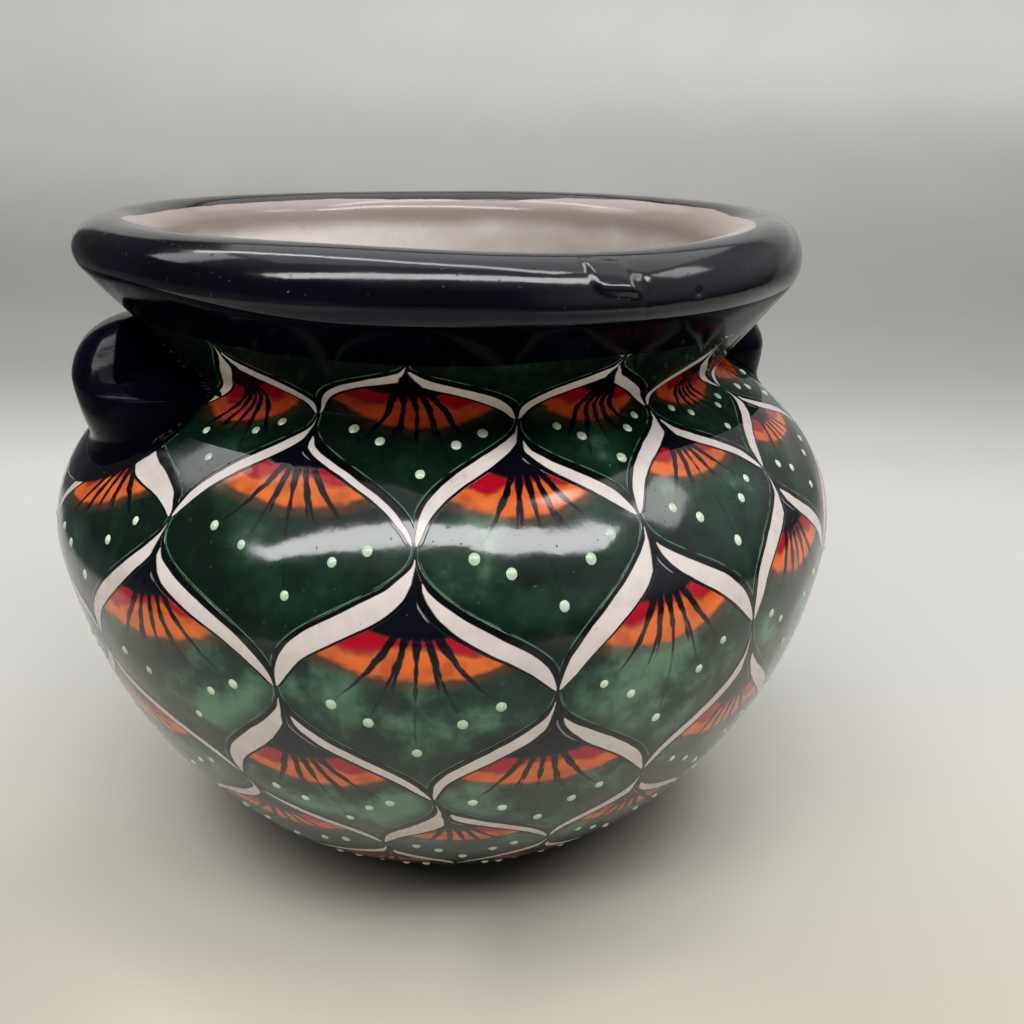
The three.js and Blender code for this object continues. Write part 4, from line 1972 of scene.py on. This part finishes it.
@dataclass
class FlowerPot:
    """The pot's pieces, in the order in which they are made."""

    shape: PotShape = field(default_factory=PotShape)
    fuller_roll: dict[str, float] = field(default_factory=lambda: {
        "roll_half_width": 12.8, "roll_half_height": 12.2, "roll_rise": 36.2, "roll_outset": 12.3,
        "roll_edge": 0.04,
    })
    lattice: FeatherLattice = field(default_factory=FeatherLattice)
    strokes: BrushStrokes = field(default_factory=BrushStrokes)
    cover: NavyCover = field(default_factory=NavyCover)
    joint: CoilJoint = field(default_factory=CoilJoint)
    ears: tuple[EarHandle, ...] = (
        EarHandle("ear_right", "handle_right", 0.0, -1, 28.5, upper_height=22.0, upper_front=20.0),
        EarHandle("ear_left", "handle_left", 180.0, 1),
    )
    shaded_arc: float = 268.4

    def build(self) -> None:
        """Makes the finishes and every piece, and ties each to the part."""
        groups = {"feather_paint": FeatherPaint().group(), "kiln_surface": kiln_surface_group()}
        painted, inside = PaintedGlaze().build(groups), InsideGlaze().build(groups)
        under_rim = PaintedGlaze("under_rim_glaze", mirror=0.008).build(groups)
        navy, clay, mint = NavyGlaze().build(groups), BareClay().build(groups), DotGlaze().build(groups)
        outline = Outline(self.shape, replace(self.shape, **self.fuller_roll))
        body = Body(outline, self.lattice, self.strokes, self.cover)
        floor = body.floor_piece("foot_floor")
        self.keep(floor.build([painted, inside, clay]), Slot.CLAY, "floor_slab")
        belly = body.wall_piece("round_belly", "belly", "belly_inside", body.columns)
        self.keep(belly.build([painted, inside]), Slot.PAINTED, "belly_wall")
        collar = body.wall_piece("flared_collar", "collar", "collar_inside", body.columns)
        self.keep(collar.build([under_rim, inside]), Slot.PAINTED, "neck_collar")
        roll = body.wall_piece("rolled_rim", "roll", None, body.roll_columns, self.joint)
        first, last = outline.spans["roll"]
        roll.dress[outline.arc[first:last + 1] < self.shaded_arc] = 1
        self.keep(roll.build([inside, under_rim]), Slot.NAVY, "rim_coil")
        for ear in self.ears:
            self.keep(ear.build(self.shape, [navy]), Slot.NAVY, ear.node)
        self.keep(RaisedDots().build(body, [mint]), Slot.WHITE)

    @staticmethod
    def keep(piece: bpy.types.Object, slot: Slot, *nodes: str) -> None:
        """Ties a piece to the part's body and hides the part's nodes that it stands for.

        Args:
            piece: The piece.
            slot: Its material slot; not used.
            *nodes: Nodes of the part that it stands for.
        """
        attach(piece, "root")
        if nodes:
            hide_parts(*nodes)
        LOG.info("%s: %d faces, stands for %s", piece.name, len(piece.data.polygons), nodes or "no node")


# Studio and camera


@dataclass(frozen=True)
class Camera:
    """The photograph's viewpoint, solved from the pot's outline, in millimetres and degrees."""

    place: tuple[float, float, float] = (-113.6, -312.1, 248.3)
    azimuth: float = 65.97
    pitch: float = 22.63
    roll: float = -1.353
    focal_pixels: float = 900.0
    frame_pixels: float = 1024.0
    sensor: float = 36.0

    def build(self) -> None:
        """Camera whose right and up axes are turned by the roll about its line of sight."""
        turn, down, roll = (math.radians(v) for v in (self.azimuth, self.pitch, self.roll))
        ahead = Vector((math.cos(turn) * math.cos(down), math.sin(turn) * math.cos(down), -math.sin(down)))
        level = Vector((math.sin(turn), -math.cos(turn), 0.0))
        above = level.cross(ahead)
        right = level * math.cos(roll) - above * math.sin(roll)
        up = level * math.sin(roll) + above * math.cos(roll)
        data = bpy.data.cameras.new("camera")
        data.sensor_width = self.sensor
        data.lens = self.focal_pixels / self.frame_pixels * self.sensor
        data.clip_start, data.clip_end = 0.01, 50.0
        made = bpy.data.objects.new("camera", data)
        axes = Matrix((right, up, -ahead)).transposed().to_4x4()
        made.matrix_world = Matrix.Translation(Vector(self.place) * METRES) @ axes
        bpy.context.scene.collection.objects.link(made)
        bpy.context.scene.camera = made


@dataclass(frozen=True)
class Lamp:
    """Flat rectangular lamp under the ceiling, facing down; places are in lengths of its height."""

    name: str
    start: tuple[float, float]
    end: tuple[float, float]
    width: float
    radiance: float
    height: float = 1.6
    base: float = 0.2

    def build(self) -> None:
        """Area lamp from start to end, whose power is radiance · pi · area."""
        first, last = (Vector((x, y, 0.0)) * self.height for x, y in (self.start, self.end))
        long = last - first
        data = bpy.data.lights.new(self.name, "AREA")
        data.shape = "RECTANGLE"
        data.size, data.size_y = long.length, self.width * self.height
        data.energy = self.radiance * math.pi * data.size * data.size_y
        made = bpy.data.objects.new(self.name, data)
        along, down = long.normalized(), Vector((0.0, 0.0, 1.0))
        axes = Matrix((along, down.cross(along), down)).transposed().to_4x4()
        middle = (first + last) / 2 + Vector((0.0, 0.0, self.height + self.base))
        made.matrix_world = Matrix.Translation(middle) @ axes
        bpy.context.scene.collection.objects.link(made)


@dataclass(frozen=True)
class Studio:
    """Pale table that sweeps up into a backdrop, dim room light and soft lamps.

    Seen in the glaze, the table is painted dark near the pot on the left and in front: a painted reflection
    of a dim room, as if the table ended there.
    """

    backdrop_distance: float = 1.1
    backdrop_height: float = 1.2
    sweep: float = 0.6
    half_width: float = 2.6
    near_edge: float = 2.4
    near: tuple = (180, 175, 163)
    middle: tuple = (184, 183, 179)
    # far: colour of painted shade on the table further back
    far: tuple = (150, 149, 146)
    backdrop: tuple = (178, 176, 171)
    # painted light: the backdrop is paler high up, and paler still on the right
    painted_light_backdrop_left: tuple = (206, 205, 201)
    painted_light_backdrop_right: tuple = (236, 235, 231)
    # painted light: paler table in front of the pot's middle, lifting the pot's shadow there
    painted_light_front: tuple = (190, 185, 172)
    # under: colour of painted shadow on the table round and beside the pot
    under: tuple = (80, 76, 70)
    clouded: tuple = (120, 112, 96)
    # room_mirrored and front_mirrored: painted reflection, the table's colour only as the glaze mirrors it
    room_mirrored: tuple = (72, 72, 74)
    front_mirrored: tuple = (100, 103, 110)
    room_light: tuple = (250, 250, 255)
    view_azimuth: float = 65.97
    dim: float = 0.05
    right_wall: float = 0.45
    overhead: float = 0.45

    def build(self) -> None:
        """Makes the table, the world and the lamps."""
        self.add_table()
        self.add_room()
        for lamp in self.lamps():
            lamp.build()

    def lamps(self) -> tuple[Lamp, ...]:
        """Two long ceiling lamps, a soft panel over the pot and a pale panel on each side.

        Returns:
            The lamps, not yet built.
        """
        return (
            Lamp("ceiling_front", (-1.6, -0.18), (0.72, -0.90), 0.29, 10.5),
            Lamp("ceiling_over", (-0.70, 0.98), (0.34, -0.36), 0.1, 9.0),
            Lamp("panel_over", (-0.465, 0.92), (0.996, 0.268), 1.6, 0.85),
            Lamp("panel_right", (0.97, -0.7), (1.17, -0.3), 0.5, 4.0),
            Lamp("panel_left", (-1.08, 0.62), (-0.88, 1.02), 0.72, 2.4),
        )

    def axes(self) -> tuple[Array, Array]:
        """Level unit vectors ahead of the camera and to its right."""
        turn = math.radians(self.view_azimuth)
        return np.array((math.cos(turn), math.sin(turn))), np.array((math.sin(turn), -math.cos(turn)))

    def add_table(self) -> None:
        """Flat table, a quarter-circle sweep and an upright backdrop, as one extruded section."""
        angle = np.linspace(0, math.pi / 2, 16)
        start = self.backdrop_distance
        section = np.concatenate([
            [(-self.near_edge, 0.0)],
            np.stack([start + self.sweep * np.sin(angle), self.sweep * (1 - np.cos(angle))], -1),
            [(start + self.sweep, self.backdrop_height)],
        ])
        ahead, side = self.axes()
        edges = (self.half_width, -self.half_width)
        rows = [np.c_[section[:, :1] * ahead - edge * side, section[:, 1]] for edge in edges]
        points = np.stack(rows, 1).reshape(-1, 3)
        first = 2 * np.arange(len(section) - 1)[:, None]
        faces = first + np.array([[0, 1, 3, 2]])
        mesh = bpy.data.meshes.new("table")
        mesh.from_pydata(points.tolist(), [], faces.tolist())
        mesh.shade_smooth()
        mesh.materials.append(self.table_finish())
        made = bpy.data.objects.new("table", mesh)
        bpy.context.scene.collection.objects.link(made)

    def table_finish(self) -> bpy.types.Material:
        """Matt pale surface with faint clouds and painted light and shade: darker further back, painted
        shadow round the pot's foot and beside it, paler in front of the pot and where it rises into the
        backdrop, and dark in its reflections on the left and in front.

        Returns:
            The material.
        """
        material = bpy.data.materials.new("table")
        material.use_nodes = True
        canvas = Canvas(material.node_tree)
        shader = material.node_tree.nodes["Principled BSDF"]
        place = material.node_tree.nodes.new("ShaderNodeTexCoord").outputs["Object"]
        split = material.node_tree.nodes.new("ShaderNodeSeparateXYZ")
        canvas.tree.links.new(place, split.inputs[0])
        x, y, up = (canvas.shade(socket) for socket in split.outputs)
        (ahead_x, ahead_y), (side_x, side_y) = ((float(v) for v in axis) for axis in self.axes())
        ahead, side = x * ahead_x + y * ahead_y, x * side_x + y * side_y
        colour = canvas.mix(ahead.ramp(-0.15, 0.12), self.near, self.middle)
        # Painted shade: the table is darkened further back.
        colour = canvas.mix(ahead.ramp(0.25, 0.75), colour, self.far)
        # Painted light: the table in front of the pot's middle is made paler.
        before = (1 - abs(side).ramp(0.04, 0.14)) * (1 - ahead.ramp(-0.13, -0.105))
        colour = canvas.mix(before, colour, self.painted_light_front)
        # Painted shade: the table is darkened at the front left near the pot.
        corner = (1 - side.ramp(-0.16, -0.06)) * (1 - ahead.ramp(-0.1, -0.04))
        colour = canvas.mix(corner * 0.18, colour, self.under)
        # Painted shadow: a dark ring on the table round the pot's foot.
        apart = (x * x + y * y).math("SQRT")
        colour = canvas.mix((1 - apart.ramp(0.078, 0.118)) * 0.85, colour, self.under)
        # Painted shadow: the table is darkened in front of the pot on the right.
        right_front_painted_shadow = side.ramp(0.0, 0.03) * (1 - apart.ramp(0.1, 0.15)) * (1 - ahead.ramp(-0.06, 0.0))
        colour = canvas.mix(right_front_painted_shadow * 0.3, colour, self.under)
        # Painted shade: the table is darkened far off on the left.
        colour = canvas.mix((1 - side.ramp(-0.45, -0.1)) * ahead.ramp(0.3, 0.6) * 0.22, colour, self.under)
        colour = canvas.mix(up.ramp(0.0, 0.25), colour, self.backdrop)
        # Painted light: the backdrop is made paler high up and towards the right.
        colour = canvas.mix(up.ramp(0.2, 0.5), colour, self.painted_light_backdrop_left)
        colour = canvas.mix(up.ramp(0.2, 0.5) * side.ramp(-1.3, 1.3), colour, self.painted_light_backdrop_right)
        cloud = canvas.noise(place, 6.0, 4.0, 51.0).ramp(0.3, 0.7)
        colour = canvas.mix(cloud * 0.06, colour, self.clouded)
        # Painted reflection: in glossy rays the table is darkened on the left, far off and in front near
        # the pot.
        reach = (ahead * 0.68 + 0.1).math("MAXIMUM", 0.5)
        lit = (side + reach).ramp(-0.06, 0.06) * (ahead + 0.8).ramp(-0.1, 0.1)
        path = material.node_tree.nodes.new("ShaderNodeLightPath")
        mirrored = canvas.shade(path.outputs["Is Glossy Ray"])
        colour = canvas.mix(mirrored * (1 - lit), colour, self.room_mirrored)
        front = (1 - abs(side).ramp(0.2, 0.55)) * (1 - ahead.ramp(-0.3, -0.05))
        colour = canvas.mix(mirrored * front * 0.85, colour, self.front_mirrored)
        canvas.tree.links.new(colour, shader.inputs["Base Color"])
        shader.inputs["Roughness"].default_value = 0.6
        shader.inputs["Specular IOR Level"].default_value = 0.2
        return material

    def add_room(self) -> None:
        """Room all round: dim in front and on the left, paler on the right and overhead."""
        world = bpy.data.worlds.new("room")
        world.use_nodes = True
        bpy.context.scene.world = world
        tree = world.node_tree
        canvas = Canvas(tree)
        split = tree.nodes.new("ShaderNodeSeparateXYZ")
        tree.links.new(tree.nodes.new("ShaderNodeTexCoord").outputs["Generated"], split.inputs[0])
        x, y, up = (canvas.shade(socket) for socket in split.outputs)
        _, side = self.axes()
        right = x * float(side[0]) + y * float(side[1])
        glow = right.ramp(0.2, 0.9) * up.ramp(-0.1, 0.4) * self.right_wall
        glow = glow + up.ramp(0.5, 0.9) * self.overhead
        seen = canvas.shade(tree.nodes.new("ShaderNodeLightPath").outputs["Is Camera Ray"])
        sky = tree.nodes["Background"]
        sky.inputs["Color"].default_value = paint(*self.room_light)
        tree.links.new((glow + self.dim + seen * 0.5).socket, sky.inputs["Strength"])


def main() -> None:
    """Builds the pot, then the studio and the camera."""
    logging.basicConfig(level=logging.INFO, format="%(name)s %(message)s")
    FlowerPot().build()
    Studio().build()
    Camera().build()
    bpy.context.scene.view_settings.view_transform = "Standard"
    bpy.context.view_layer.update()


if __name__ == "__main__":
    main()
